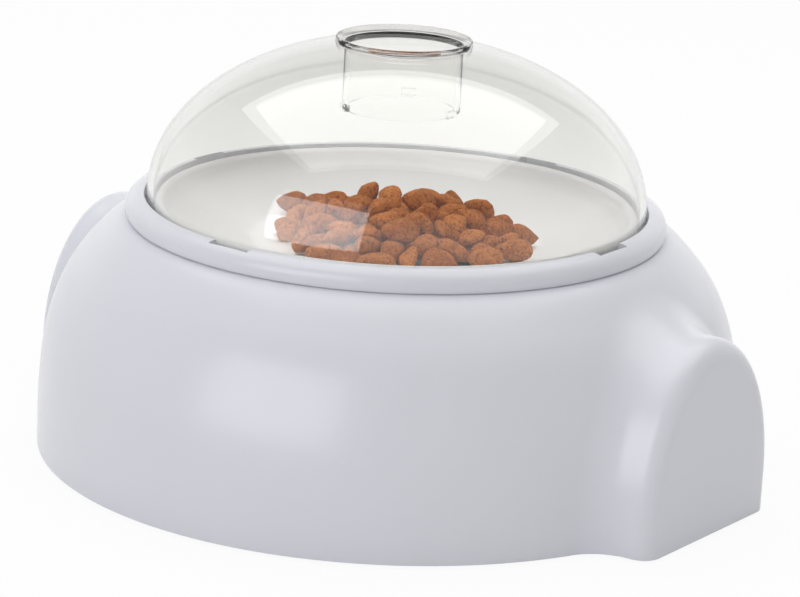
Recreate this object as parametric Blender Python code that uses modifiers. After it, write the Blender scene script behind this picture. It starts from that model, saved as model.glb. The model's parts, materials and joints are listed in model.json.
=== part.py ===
"""Automatic pet food dispenser: a clear twist-lock dome on a white body with two arched lobes.

Metres, +Z up. The origin is under the middle of the body, on the floor. +X points along the closed
battery lobe and -X along the lobe that holds the feeding bay. Food is poured through the tube in the
dome, lies on the tray, drops into the turning rotor under it and leaves down the chute to the dish.
"""

import math

import bmesh
import bpy
from mathutils import Matrix, Vector

# Fits and overruns
GAP = 0.0003
OVERRUN = 0.004

# Dome lid, its gasket and the fill tube
DOME_RADIUS = 0.100
DOME_SPRING_SINK = 0.0004
DOME_RISE = 0.0653
DOME_POWER = 0.985
DOME_WALL = 0.0025
GASKET_THICKNESS = 0.001
LUG_REACH = 0.0038
LUG_RADIUS = DOME_RADIUS + LUG_REACH
LUG_HEIGHT = 0.0025
LUG_ANGLE = math.radians(8.6)
LUG_COUNT = 4
TUBE_RADIUS = 0.0234
TUBE_WALL = 0.002
TUBE_LENGTH = 0.0268
TUBE_BEAD_INSET = 0.0008
TUBE_BEAD_REACH = 0.0038
TUBE_BEAD_INNER = TUBE_RADIUS - TUBE_BEAD_INSET
TUBE_BEAD_OUTER = TUBE_RADIUS + TUBE_BEAD_REACH
TUBE_BEAD_HEIGHT = 0.0022
TUBE_HOOK_COUNT = 3
TUBE_HOOK_REACH = 0.0018
TUBE_HOOK_HEIGHT = 0.003
TUBE_HOOK_WIDTH = 0.006

# Rim collar round the dome
COLLAR_SIDE_GAP = 0.0016
COLLAR_ROLL_WIDTH = 0.0066
COLLAR_FOOT_INSET = 0.0026
COLLAR_SHELF = 0.0027
LUG_CLEARANCE = 0.0008
COLLAR_BORE_RADIUS = DOME_RADIUS + COLLAR_SIDE_GAP
COLLAR_OUTER_RADIUS = COLLAR_BORE_RADIUS + COLLAR_ROLL_WIDTH
COLLAR_FOOT_RADIUS = COLLAR_OUTER_RADIUS - COLLAR_FOOT_INSET
COLLAR_INNER_RADIUS = DOME_RADIUS - COLLAR_SHELF
COLLAR_HEIGHT = 0.0102
COLLAR_FLOOR = 0.0015
COLLAR_LIP = 0.0042
COLLAR_GROOVE_RADIUS = LUG_RADIUS + LUG_CLEARANCE
WINDOW_ANGLE = math.radians(10.4)
SNAP_LENGTH = 0.012
SNAP_THICKNESS = 0.0024
SNAP_CATCH = 0.0014
SNAP_ANGLE = math.radians(45)

# Body shell: a turned skirt whose shoulder curls in to a flange
SHOULDER_INSET = 0.00185
SKIRT_SPREAD = 0.0354
FLANGE_WIDTH = 0.01485
BODY_TOP_RADIUS = COLLAR_OUTER_RADIUS - SHOULDER_INSET
BODY_BASE_RADIUS = BODY_TOP_RADIUS + SKIRT_SPREAD
BODY_TOP_Z = 0.0931
BODY_BOTTOM_Z = 0.0012
BODY_WALL = 0.003
FLANGE_BORE_RADIUS = BODY_TOP_RADIUS - FLANGE_WIDTH
SKIRT_RADIUS_POWER = 1.414
SKIRT_HEIGHT_POWER = 0.6

# Lobes: short arches on opposite sides of the skirt
LOBE_REACH = 0.01425
LOBE_ROOT_DEPTH = 0.02375
LOBE_END_X = BODY_BASE_RADIUS + LOBE_REACH
LOBE_ROOT_X = BODY_BASE_RADIUS - LOBE_ROOT_DEPTH
LOBE_HALF_WIDTH = 0.0433
LOBE_SIDE_HEIGHT = 0.0169
LOBE_APEX_Z = 0.0777
LOBE_EDGE_RADIUS = 0.008

# Hopper tray and the food on it
TRAY_WALL = 0.0022
TRAY_SINK = 0.0061
TRAY_FLOOR_Z = BODY_TOP_Z - TRAY_SINK
TRAY_BEAD_WIDTH = 0.0037
TRAY_BEAD_HEIGHT = 0.0058
TRAY_SIDE_CLEARANCE = 0.0006
DROP_MARGIN = 0.0105
DROP_LENGTH = 0.018
DROP_HALF_WIDTH = 0.017
HEAP_CLEARANCE = 0.009
HEAP_RING = 0.011
TRAY_MARGIN = 0.006
HEAP_HEIGHT = 0.0185
HEAP_HOLLOW_HEIGHT = 0.0072
HEAP_LUMP = 0.0012
HEAP_LUMPS_ROUND = 13
HEAP_LUMPS_UP = 5

# Rotor stack on the upright shaft
SHAFT_RADIUS = 0.004
SHAFT_BOTTOM_Z = 0.036
SHAFT_STAND_OUT = 0.0058
AGITATOR_HUB_RADIUS = 0.009
AGITATOR_HUB_HEIGHT = 0.0045
AGITATOR_REACH = 0.032
AGITATOR_ARM_WIDTH = 0.005
AGITATOR_ARM_HEIGHT = 0.0022
AGITATOR_ARM_LIFT = 0.0004
DRUM_BORE_RADIUS = 0.0555
DRUM_WALL = 0.0025
DRUM_FLOOR_Z = 0.061
DRUM_FLOOR_THICKNESS = 0.0022
DRUM_LEG_RADIUS = 0.004
DRUM_LEG_INSET = 0.0035
DRUM_LEG_RING = DRUM_BORE_RADIUS - DRUM_LEG_INSET
DRUM_LEG_ANGLES = tuple(math.radians(angle) for angle in (45, 110, -110, -45))
OUTLET_INNER_X = -0.026
OUTLET_MARGIN = 0.0025
OUTLET_OUTER_X = -(DRUM_BORE_RADIUS - OUTLET_MARGIN)
OUTLET_HALF_WIDTH = 0.017
ROTOR_HUB_RADIUS = 0.020
ROTOR_TIP_CLEARANCE = 0.001
ROTOR_VANE = 0.0024
ROTOR_VANES = 6
ROTOR_TOP_CLEARANCE = 0.0006

# Bushes and retaining ring
BUSH_RADIUS = 0.0057
BUSH_FLANGE_RADIUS = 0.0075
BUSH_FLANGE = 0.001
BUSH_LENGTH = 0.0045
RING_RADIUS = 0.0072
RING_THICKNESS = 0.0012
RING_SLOT_HALF_WIDTH = 0.0022

# Gear pair and motor
GEAR_MODULE = 0.0011
GEAR_TEETH = 42
PINION_TEETH = 14
PRESSURE_ANGLE = math.radians(25)
ADDENDUM_SHARE = 0.8
DEDENDUM_SHARE = 1.1
TOOTH_BACKLASH = 0.0003
FLANK_STEPS = 2
GEAR_THICKNESS = 0.008
PINION_LIFT = 0.0016
FRAME_PLATE_Z = 0.040
FRAME_PLATE = 0.003
FRAME_RADIUS = 0.034
FRAME_ARM_X = 0.038
FRAME_ARM_RADIUS = 0.024
FRAME_POST_RADIUS = 0.0035
FRAME_POST_PLACES = ((-0.015, 0.026), (-0.015, -0.026), (0.055, 0.0))
MOTOR_CAN_RADIUS = 0.012
MOTOR_BOX_RADIUS = 0.015
MOTOR_BOX_HEIGHT = 0.0115
MOTOR_CAN_HEIGHT = 0.0155
MOTOR_SHAFT_RADIUS = 0.0025
MOTOR_SHAFT_LENGTH = 0.020
MOTOR_SHAFT_DEPTH = 0.005
MOTOR_SCREW_OFFSET = 0.0115
MOTOR_SCREW_HEAD_RADIUS = 0.0024
MOTOR_SCREW_HEAD = 0.0016
MOTOR_SCREW_RADIUS = 0.0012
MOTOR_SCREW_LENGTH = 0.0055

# Feeding bay in the -X lobe
BAY_SIDE_MARGIN = 0.0103
BAY_TOP_MARGIN = 0.0137
BAY_DEPTH = 0.072
BAY_HALF_WIDTH = LOBE_HALF_WIDTH - BAY_SIDE_MARGIN
BAY_APEX_Z = LOBE_APEX_Z - BAY_TOP_MARGIN
BAY_SIDE_HEIGHT = LOBE_SIDE_HEIGHT
BAY_FRONT_INSET = 0.0008
BAY_BACK_X = -(LOBE_END_X - BAY_DEPTH)
BAY_WALL = 0.0018
BAY_BACK_WALL = 0.002
CHUTE_WALL = 0.0016
CHUTE_HALF_WIDTH = 0.018
CHUTE_DROP = 0.004
CHUTE_FLOOR_TOP_Z = DRUM_FLOOR_Z - CHUTE_DROP
CHUTE_MOUTH_LOW_Z = 0.020
FLAP_PIN_RADIUS = 0.001
FLAP_PIN_DROP = 0.018
FLAP_PIN_Z = BAY_APEX_Z - FLAP_PIN_DROP
MOUTH_DROP = 0.004
CHUTE_MOUTH_HIGH_Z = FLAP_PIN_Z - MOUTH_DROP
FLAP_PIN_OFFSET = 0.0025
FLAP_KNUCKLE_RADIUS = 0.0022
FLAP_SEAT = 0.0014
FLAP_SEAT_MARGIN = 0.0015
FLAP_THICKNESS = 0.0016
FLAP_BOTTOM_Z = 0.0192
FLAP_SIDE_LAP = 0.0005
FLAP_HALF_WIDTH = CHUTE_HALF_WIDTH + FLAP_SIDE_LAP
FLAP_EAR = 0.0016
FLAP_EAR_RADIUS = 0.003
DISH_SETBACK = 0.008
DISH_SIDE_MARGIN = 0.0035
DISH_LENGTH = BAY_DEPTH - DISH_SETBACK
DISH_HALF_WIDTH = BAY_HALF_WIDTH - DISH_SIDE_MARGIN
DISH_HEIGHT = 0.0075
DISH_WALL = 0.0018
DISH_CORNER = 0.010
DISH_GRIP = 0.003
DISH_GRIP_HALF_WIDTH = 0.010

# Base plate, feet and screws
BASE_BOTTOM_Z = 0.005
BASE_THICKNESS = 0.0026
BASE_CLEARANCE = 0.0006
BASE_CORNER = 0.0046
FOOT_INSET = 0.01575
FOOT_RING = BODY_BASE_RADIUS - FOOT_INSET
FOOT_ANGLE = math.radians(35)
FOOT_RADIUS = 0.008
FOOT_STUD_RADIUS = 0.0026
FOOT_STUD_HEIGHT = 0.0042
BOSS_INSET = 0.02375
BOSS_RING = BODY_BASE_RADIUS - BOSS_INSET
BOSS_ANGLE = math.radians(45)
BOSS_RADIUS = 0.005
SCREW_RADIUS = 0.0015
SCREW_HEAD_RADIUS = 0.0035
SCREW_HEAD = 0.0023
SCREW_LENGTH = 0.019

# Batteries
CELL_RADIUS = 0.0071
CELL_LENGTH = 0.0502
CELL_NUB_RADIUS = 0.0027
CELL_NUB = 0.0012
CELL_SPACING = 0.001
CELL_PITCH = 2 * CELL_RADIUS + CELL_SPACING
CELL_COUNT = 4
CELL_BOX_WALL = 0.0016
CELL_BOX_CLEARANCE = 0.0004
CELL_END_MARGIN = 0.0085
CELL_ROW_HALF = CELL_PITCH * CELL_COUNT / 2 + CELL_BOX_CLEARANCE
CELL_ROW_X = LOBE_END_X - CELL_END_MARGIN - CELL_ROW_HALF
CONTACT_ROOM = 0.0031
CONTACT_THICKNESS = 0.0006
CONTACT_BUMP_RADIUS = 0.003
CONTACT_WIDTH = 0.009
DOOR_THICKNESS = 0.0017
DOOR_OVERLAP = 0.002
DOOR_TRAVEL = 0.055
DOOR_HELD_LENGTH = 0.030
DOOR_RIB = 0.0005
DOOR_RIB_LENGTH = 0.020
DOOR_RIB_WIDTH = 0.0012
DOOR_RIB_PITCH = 0.004
RAIL_WALL = 0.0018
RAIL_LIP = 0.002
RAIL_LIP_THICKNESS = 0.0012

# Controls on the +Y side
BEZEL_HALF_WIDTH = 0.030
BEZEL_LOW_Z = 0.027
BEZEL_HEIGHT = 0.030
BEZEL_HIGH_Z = BEZEL_LOW_Z + BEZEL_HEIGHT
BEZEL_THICKNESS = 0.0024
BEZEL_POST_X = 0.0255
BEZEL_POST_INSET = 0.004
BEZEL_POST_RADIUS = 0.002
BUTTON_X = -0.0135
BUTTON_RADIUS = 0.008
BUTTON_STAND_OUT = 0.0016
BUTTON_FLANGE_RADIUS = 0.0092
BUTTON_FLANGE = 0.0015
BUTTON_STEM_RADIUS = 0.003
BUTTON_TRAVEL = 0.0018
TACT_WIDTH = 0.006
TACT_HEIGHT = 0.0035
LENS_X = 0.003
LENS_RADIUS = 0.0025
SWITCH_X = 0.0165
SWITCH_TRAVEL = 0.005
SWITCH_KNOB_LENGTH = 0.007
SWITCH_KNOB_HEIGHT = 0.0056
SWITCH_STAND_OUT = 0.0016
SWITCH_PLATE_MARGIN = 0.0022
SWITCH_PLATE = 0.0014
SWITCH_PLATE_GAP = 0.0016
SWITCH_BLOCK_LENGTH = 0.013
BOARD_INSET = 0.01775
BOARD_Y = BODY_BASE_RADIUS - BOARD_INSET
BOARD_THICKNESS = 0.0016
BOARD_HALF_WIDTH = 0.028
BOARD_LOW_Z = 0.0275
BOARD_HIGH_Z = 0.0565

# Leads, which the housing holds all the way
LEAD_RADIUS = 0.0011
LEAD_POINT_SPACING = 0.008
LEAD_STRAIGHT = 0.0032
LEAD_RISE = 0.0092
LEAD_TURN = 0.0139
BOARD_LEAD_Y = BOARD_Y - GAP
CELL_LEAD_X = CELL_ROW_X - CELL_ROW_HALF - CELL_BOX_WALL - GAP
GEAR_CENTRES = GEAR_MODULE * (GEAR_TEETH + PINION_TEETH) / 2
MOTOR_LEAD_ROUTE = (
    (GEAR_CENTRES, MOTOR_CAN_RADIUS + GAP, 0.020),
    (GEAR_CENTRES, MOTOR_CAN_RADIUS + LEAD_STRAIGHT, 0.0200),
    (0.0270, 0.0270, 0.0150),
    (0.0255, 0.0420, 0.0115),
    (0.0250, 0.0700, 0.0110),
    (0.0200, 0.1000, 0.0135),
    (0.0130, BOARD_LEAD_Y - LEAD_RISE, 0.0220),
    (0.0110, BOARD_LEAD_Y - LEAD_STRAIGHT, 0.0330),
    (0.0110, BOARD_LEAD_Y, 0.0330),
)
BATTERY_LEAD_ROUTE = (
    (CELL_LEAD_X, 0.0100, 0.0150),
    (CELL_LEAD_X - LEAD_STRAIGHT, 0.0100, 0.0150),
    (CELL_LEAD_X - LEAD_RISE, 0.0220, 0.0120),
    (CELL_LEAD_X - LEAD_TURN, 0.0600, 0.0105),
    (0.0480, 0.0950, 0.0125),
    (0.0270, BOARD_LEAD_Y - LEAD_RISE, 0.0210),
    (0.0210, BOARD_LEAD_Y - LEAD_STRAIGHT, 0.0340),
    (0.0210, BOARD_LEAD_Y, 0.0340),
)

# Facets of round pieces
LARGE_STEPS = 48
MIDDLE_STEPS = 32
SMALL_STEPS = 16
TINY_STEPS = 12

# Places that follow from the sizes above
BASE_TOP_Z = BASE_BOTTOM_Z + BASE_THICKNESS
SEAT_Z = BASE_TOP_Z + GAP
COLLAR_LOW_Z = BODY_TOP_Z + GAP
COLLAR_TOP_Z = COLLAR_LOW_Z + COLLAR_HEIGHT
DOME_SPRING_Z = COLLAR_TOP_Z - DOME_SPRING_SINK
GASKET_LOW_Z = COLLAR_LOW_Z + COLLAR_FLOOR + GAP
DOME_LOW_Z = GASKET_LOW_Z + GASKET_THICKNESS + GAP
HEAP_HOLLOW_RADIUS = AGITATOR_REACH + HEAP_CLEARANCE
HEAP_RADIUS = HEAP_HOLLOW_RADIUS + HEAP_RING
TRAY_FLOOR_RADIUS = HEAP_RADIUS + TRAY_MARGIN
DROP_OUTER_X = DRUM_BORE_RADIUS - DROP_MARGIN
DROP_INNER_X = DROP_OUTER_X - DROP_LENGTH
SHAFT_TOP_Z = TRAY_FLOOR_Z + SHAFT_STAND_OUT
DRUM_TOP_Z = TRAY_FLOOR_Z - TRAY_WALL - GAP
UPPER_BUSH_Z = DRUM_FLOOR_Z + DRUM_FLOOR_THICKNESS + GAP
ROTOR_LOW_Z = UPPER_BUSH_Z + BUSH_FLANGE + GAP
ROTOR_HIGH_Z = TRAY_FLOOR_Z - TRAY_WALL - ROTOR_TOP_CLEARANCE
FRAME_TOP_Z = FRAME_PLATE_Z + FRAME_PLATE
LOWER_BUSH_Z = FRAME_TOP_Z + GAP
GEAR_LOW_Z = LOWER_BUSH_Z + BUSH_FLANGE + GAP
MOTOR_TOP_Z = FRAME_PLATE_Z - GAP
CELL_Z = BASE_BOTTOM_Z + CELL_RADIUS
DOOR_HIGH_Z = BASE_BOTTOM_Z - GAP
DOOR_LOW_Z = DOOR_HIGH_Z - DOOR_THICKNESS
BOARD_FRONT_Y = BOARD_Y + BOARD_THICKNESS
CONTROL_Z = (BEZEL_LOW_Z + BEZEL_HIGH_Z) / 2
FLAP_PIN_X = BAY_BACK_X - BAY_BACK_WALL - FLAP_PIN_OFFSET


# Scene, collections and materials

def clear_scene():
    for old in list(bpy.data.objects):
        bpy.data.objects.remove(old, do_unlink=True)


def new_collection(name, hidden=False):
    made = bpy.data.collections.new(name)
    made.hide_render = hidden
    bpy.context.scene.collection.children.link(made)
    return made


def finish_of(name, colour, roughness, metallic=0.0, alpha=1.0):
    made = bpy.data.materials.new(name)
    made.use_nodes = True
    shader = made.node_tree.nodes["Principled BSDF"]
    shader.inputs["Base Color"].default_value = (*colour, 1.0)
    shader.inputs["Roughness"].default_value = roughness
    shader.inputs["Metallic"].default_value = metallic
    shader.inputs["Alpha"].default_value = alpha
    made.diffuse_color = (*colour, alpha)
    return made


clear_scene()
PARTS = new_collection("pet_food_dispenser")
CUTTERS = new_collection("cutters", hidden=True)

WHITE = finish_of("white_gloss_plastic", (0.80, 0.81, 0.84), 0.25)
TRAY_WHITE = finish_of("tray_plastic", (0.76, 0.76, 0.75), 0.4)
CLEAR = finish_of("clear_plastic", (0.86, 0.86, 0.84), 0.08, alpha=0.3)
FOOD = finish_of("dry_food", (0.42, 0.20, 0.07), 0.8)
GREY_PLASTIC = finish_of("grey_plastic", (0.35, 0.36, 0.38), 0.5)
NATURAL_PLASTIC = finish_of("natural_acetal", (0.72, 0.70, 0.64), 0.45)
STEEL = finish_of("steel", (0.60, 0.60, 0.61), 0.3, metallic=1.0)
BRASS = finish_of("brass", (0.66, 0.50, 0.24), 0.35, metallic=1.0)
RUBBER = finish_of("rubber", (0.05, 0.05, 0.055), 0.75)
SILICONE = finish_of("silicone", (0.62, 0.63, 0.64), 0.6)
BOARD_GREEN = finish_of("board_green", (0.03, 0.19, 0.09), 0.45)
CELL_SKIN = finish_of("cell_wrap", (0.10, 0.11, 0.13), 0.35)
WIRE_SKIN = finish_of("wire_insulation", (0.45, 0.04, 0.03), 0.5)


# Building blocks

def add_mesh(name, mesh_maker, look, collection=None):
    """Wraps a bmesh as an object. Without a look it is a cutter, drawn as wire."""
    mesh = bpy.data.meshes.new(name)
    mesh_maker.to_mesh(mesh)
    mesh_maker.free()
    made = bpy.data.objects.new(name, mesh)
    (collection or (PARTS if look else CUTTERS)).objects.link(made)
    if look:
        mesh.materials.append(look)
        mesh.shade_smooth()
        mesh.set_sharp_from_angle(angle=math.radians(35))
    else:
        made.hide_render = True
        made.display_type = "WIRE"
    return made


def turned(name, profile, look=None, steps=LARGE_STEPS, closed=True):
    """A turned piece: the profile of (radius, z) runs down its outer side."""
    shape = bmesh.new()
    points = [shape.verts.new((radius, 0, z)) for radius, z in profile]
    pairs = list(zip(points, points[1:]))
    if closed:
        pairs.append((points[-1], points[0]))
    for start, end in pairs:
        shape.edges.new((start, end))
    made = add_mesh(name, shape, look)
    screw = made.modifiers.new("turn", "SCREW")
    screw.steps = steps
    screw.render_steps = steps
    screw.use_merge_vertices = True
    screw.merge_threshold = 0.00002
    screw.use_smooth_shade = bool(look)
    return made


def spindle(name, profile, look=None, steps=SMALL_STEPS):
    """A turned piece without a bore: its profile starts and ends on the axis."""
    return turned(name, profile, look, steps, closed=False)


def prism(name, outline, depth, look=None):
    """Stands a closed outline in XY up to a depth along +Z."""
    shape = bmesh.new()
    corners = [shape.verts.new((x, y, 0)) for x, y in outline]
    face = shape.faces.new(corners)
    raised = bmesh.ops.extrude_face_region(shape, geom=[face])
    tops = [item for item in raised["geom"] if isinstance(item, bmesh.types.BMVert)]
    bmesh.ops.translate(shape, verts=tops, vec=(0, 0, depth))
    bmesh.ops.recalc_face_normals(shape, faces=shape.faces)
    return add_mesh(name, shape, look)


def plate(name, outlines, low, high, look):
    """A flat plate of a 2D curve: the first outline is its edge and the others are holes."""
    curve = bpy.data.curves.new(name, "CURVE")
    curve.dimensions = "2D"
    curve.fill_mode = "BOTH"
    curve.extrude = (high - low) / 2
    for outline in outlines:
        spline = curve.splines.new("POLY")
        spline.points.add(len(outline) - 1)
        spline.use_cyclic_u = True
        for point, (x, y) in zip(spline.points, outline):
            point.co = (x, y, 0, 1)
    flat = bpy.data.objects.new(name + "_curve", curve)
    PARTS.objects.link(flat)
    flat.location.z = (low + high) / 2
    return as_mesh(flat, name, look)


def as_mesh(curve_object, name, look):
    """A curve's mesh with its caps welded, under the curve's matrix."""
    bpy.context.view_layer.update()
    graph = bpy.context.evaluated_depsgraph_get()
    mesh = bpy.data.meshes.new_from_object(curve_object.evaluated_get(graph))
    shape = bmesh.new()
    shape.from_mesh(mesh)
    bmesh.ops.remove_doubles(shape, verts=shape.verts, dist=GAP / 100)
    bmesh.ops.recalc_face_normals(shape, faces=shape.faces)
    bpy.data.meshes.remove(mesh)
    made = add_mesh(name, shape, look)
    made.matrix_world = curve_object.matrix_world.copy()
    bpy.data.objects.remove(curve_object, do_unlink=True)
    return made


def block(name, low, high, look=None):
    """A box between two corners."""
    low, high = Vector(low), Vector(high)
    shape = bmesh.new()
    bmesh.ops.create_cube(shape, size=1)
    size = high - low
    bmesh.ops.scale(shape, verts=shape.verts, vec=size)
    bmesh.ops.translate(shape, verts=shape.verts, vec=(low + high) / 2)
    return add_mesh(name, shape, look)


def rod(name, radius, start, end, look=None, steps=SMALL_STEPS, end_radius=None):
    """A cylinder or cone between two points."""
    start, end = Vector(start), Vector(end)
    shape = bmesh.new()
    bmesh.ops.create_cone(
        shape,
        cap_ends=True,
        segments=steps,
        radius1=radius,
        radius2=radius if end_radius is None else end_radius,
        depth=(end - start).length,
    )
    turn = Vector((0, 0, 1)).rotation_difference(end - start).to_matrix().to_4x4()
    place = Matrix.Translation((start + end) / 2) @ turn
    bmesh.ops.transform(shape, matrix=place, verts=shape.verts)
    return add_mesh(name, shape, look)


def combine(target, other, operation):
    """Joins or cuts with a helper, which moves to the cutters."""
    for collection in list(other.users_collection):
        collection.objects.unlink(other)
    CUTTERS.objects.link(other)
    other.hide_render = True
    other.display_type = "WIRE"
    step = target.modifiers.new(other.name, "BOOLEAN")
    step.operation = operation
    step.solver = "EXACT"
    step.object = other
    return target


def join(target, *others):
    for other in others:
        combine(target, other, "UNION")
    return target


def cut(target, *others):
    for other in others:
        combine(target, other, "DIFFERENCE")
    return target


def arc(centre, radii, start, end, steps):
    """Points along an elliptic arc, both ends included."""
    return [
        (
            centre[0] + radii[0] * math.cos(start + (end - start) * step / steps),
            centre[1] + radii[1] * math.sin(start + (end - start) * step / steps),
        )
        for step in range(steps + 1)
    ]


def circle(radius, steps=SMALL_STEPS, x=0.0, y=0.0):
    return arc((x, y), (radius, radius), 0, math.tau * (steps - 1) / steps, steps - 1)


def rounded_rectangle(low, high, radius, steps=4):
    """An outline with round corners, anticlockwise."""
    corners = (
        ((high[0] - radius, low[1] + radius), -90),
        ((high[0] - radius, high[1] - radius), 0),
        ((low[0] + radius, high[1] - radius), 90),
        ((low[0] + radius, low[1] + radius), 180),
    )
    outline = []
    for centre, angle in corners:
        start = math.radians(angle)
        outline += arc(centre, (radius, radius), start, start + math.radians(90), steps)
    return outline


def round_places(ring, angles):
    return [(ring * math.cos(angle), ring * math.sin(angle)) for angle in angles]


def four_angles(angle):
    """An angle from the X axis, repeated in each quarter by mirroring."""
    return (angle, math.pi - angle, math.pi + angle, -angle)


# Body shell

def skirt_point(turn, inset=0.0):
    """(radius, z) on the skirt, from its foot at 0 to its flange at a quarter turn."""
    rise = BODY_TOP_Z - inset - BODY_BOTTOM_Z
    radius = BODY_TOP_RADIUS - inset + SKIRT_SPREAD * max(math.cos(turn), 0) ** SKIRT_RADIUS_POWER
    return radius, BODY_BOTTOM_Z + rise * math.sin(turn) ** SKIRT_HEIGHT_POWER


def skirt_radius(z, inset=0.0):
    """The skirt's radius at a height, less an inset."""
    share = (z - BODY_BOTTOM_Z) / (BODY_TOP_Z - BODY_BOTTOM_Z)
    return skirt_point(math.asin(share ** (1 / SKIRT_HEIGHT_POWER)))[0] - inset


def skirt_height(radius):
    """The skirt's outer height at a radius."""
    share = ((radius - BODY_TOP_RADIUS) / SKIRT_SPREAD) ** (1 / SKIRT_RADIUS_POWER)
    return skirt_point(math.acos(share))[1]


def skirt_curve(steps, inset=0.0):
    """Skirt points from the flange down to the foot."""
    quarter = math.radians(90)
    return [skirt_point(quarter * (steps - step) / steps, inset) for step in range(steps + 1)]


def arch(half_width, low, side_height, apex, steps=14):
    """An arch outline in (y, z), open-footed sides under an elliptic crown."""
    crown = arc((0, side_height), (half_width, apex - side_height), 0, math.pi, steps)
    return [(half_width, low), *crown, (-half_width, low)]


def arch_prism(name, outline, start_x, end_x, edge_radius=0.0, look=None):
    """Stands an arch along X. A radius rounds its far edge, except along its foot."""
    shape = bmesh.new()
    near = [shape.verts.new((start_x, y, z)) for y, z in outline]
    face = shape.faces.new(near)
    raised = bmesh.ops.extrude_face_region(shape, geom=[face])
    far = [item for item in raised["geom"] if isinstance(item, bmesh.types.BMVert)]
    bmesh.ops.translate(shape, verts=far, vec=(end_x - start_x, 0, 0))
    bmesh.ops.recalc_face_normals(shape, faces=shape.faces)
    foot = min(z for _, z in outline)
    if edge_radius:
        edges = [
            edge
            for edge in shape.edges
            if all(vert in far for vert in edge.verts)
            and any(vert.co.z > foot + GAP for vert in edge.verts)
        ]
        bmesh.ops.bevel(
            shape, geom=edges, offset=edge_radius, segments=3, affect="EDGES", profile=0.5, material=-1
        )
    return add_mesh(name, shape, look)


def make_body_shell():
    profile = [(FLANGE_BORE_RADIUS, BODY_TOP_Z), *skirt_curve(10), (FLANGE_BORE_RADIUS, BODY_BOTTOM_Z)]
    body = turned("body_shell", profile, WHITE)
    for side, label in ((1, "battery"), (-1, "bay")):
        outside = arch(LOBE_HALF_WIDTH, BODY_BOTTOM_Z, LOBE_SIDE_HEIGHT, LOBE_APEX_Z)
        lobe = arch_prism(f"{label}_lobe", outside, side * LOBE_ROOT_X, side * LOBE_END_X, LOBE_EDGE_RADIUS)
        join(body, lobe)
    inner = skirt_curve(6, BODY_WALL)
    under = BODY_BOTTOM_Z - OVERRUN
    cut(body, spindle("body_room", [(0, inner[0][1]), *inner, (inner[-1][0], under), (0, under)], steps=LARGE_STEPS))
    hollow = LOBE_HALF_WIDTH - BODY_WALL
    for side, label in ((1, "battery"), (-1, "bay")):
        inside = arch(hollow, under, LOBE_SIDE_HEIGHT, LOBE_APEX_Z - BODY_WALL)
        room = arch_prism(
            f"{label}_lobe_room",
            inside,
            side * (LOBE_ROOT_X - OVERRUN),
            side * (LOBE_END_X - BODY_WALL),
            LOBE_EDGE_RADIUS - BODY_WALL,
        )
        cut(body, room)
    boss_top = skirt_height(BOSS_RING + BOSS_RADIUS) - BODY_WALL
    for number, (x, y) in enumerate(round_places(BOSS_RING, four_angles(BOSS_ANGLE)), 1):
        boss = rod(f"boss_{number}", BOSS_RADIUS, (x, y, SEAT_Z), (x, y, boss_top), steps=TINY_STEPS)
        pilot_top = BASE_BOTTOM_Z + SCREW_LENGTH + OVERRUN
        pilot = rod(
            f"boss_pilot_{number}",
            SCREW_RADIUS + GAP,
            (x, y, SEAT_Z - OVERRUN),
            (x, y, pilot_top),
            steps=TINY_STEPS,
        )
        join(body, boss)
        cut(body, pilot)
    cut_bay_opening(body)
    cut_bezel_opening(body)
    cut_snap_slots(body)
    return body


def cut_bay_opening(body):
    outline = arch(BAY_HALF_WIDTH, BASE_TOP_Z, BAY_SIDE_HEIGHT, BAY_APEX_Z)
    start, end = -(LOBE_END_X - BODY_WALL - OVERRUN), -(LOBE_END_X + OVERRUN)
    cut(body, arch_prism("bay_opening", outline, start, end))


def cut_bezel_opening(body):
    reach = BEZEL_HALF_WIDTH + GAP
    deepest = math.sqrt(skirt_radius(BEZEL_HIGH_Z, BODY_WALL) ** 2 - reach**2)
    low = (-reach, deepest - OVERRUN, BEZEL_LOW_Z - GAP)
    high = (reach, BODY_BASE_RADIUS + OVERRUN, BEZEL_HIGH_Z + GAP)
    cut(body, block("bezel_opening", low, high))


def snap_block(name, inner, outer, half_length, low, high, angle):
    """A small block on the flange circle, turned to its place round the axis."""
    made = block(name, (inner, -half_length, low), (outer, half_length, high))
    made.data.transform(Matrix.Rotation(angle, 4, "Z"))
    return made


def snap_inner_radius():
    return COLLAR_BORE_RADIUS - SNAP_THICKNESS - GAP


def cut_snap_slots(body):
    inner = snap_inner_radius()
    for number, angle in enumerate(four_angles(SNAP_ANGLE), 1):
        slot = snap_block(
            f"snap_slot_{number}",
            inner - GAP,
            inner + SNAP_THICKNESS + GAP,
            SNAP_LENGTH / 2 + GAP,
            BODY_TOP_Z - BODY_WALL - OVERRUN,
            BODY_TOP_Z + OVERRUN,
            angle,
        )
        cut(body, slot)


# Rim collar

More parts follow.
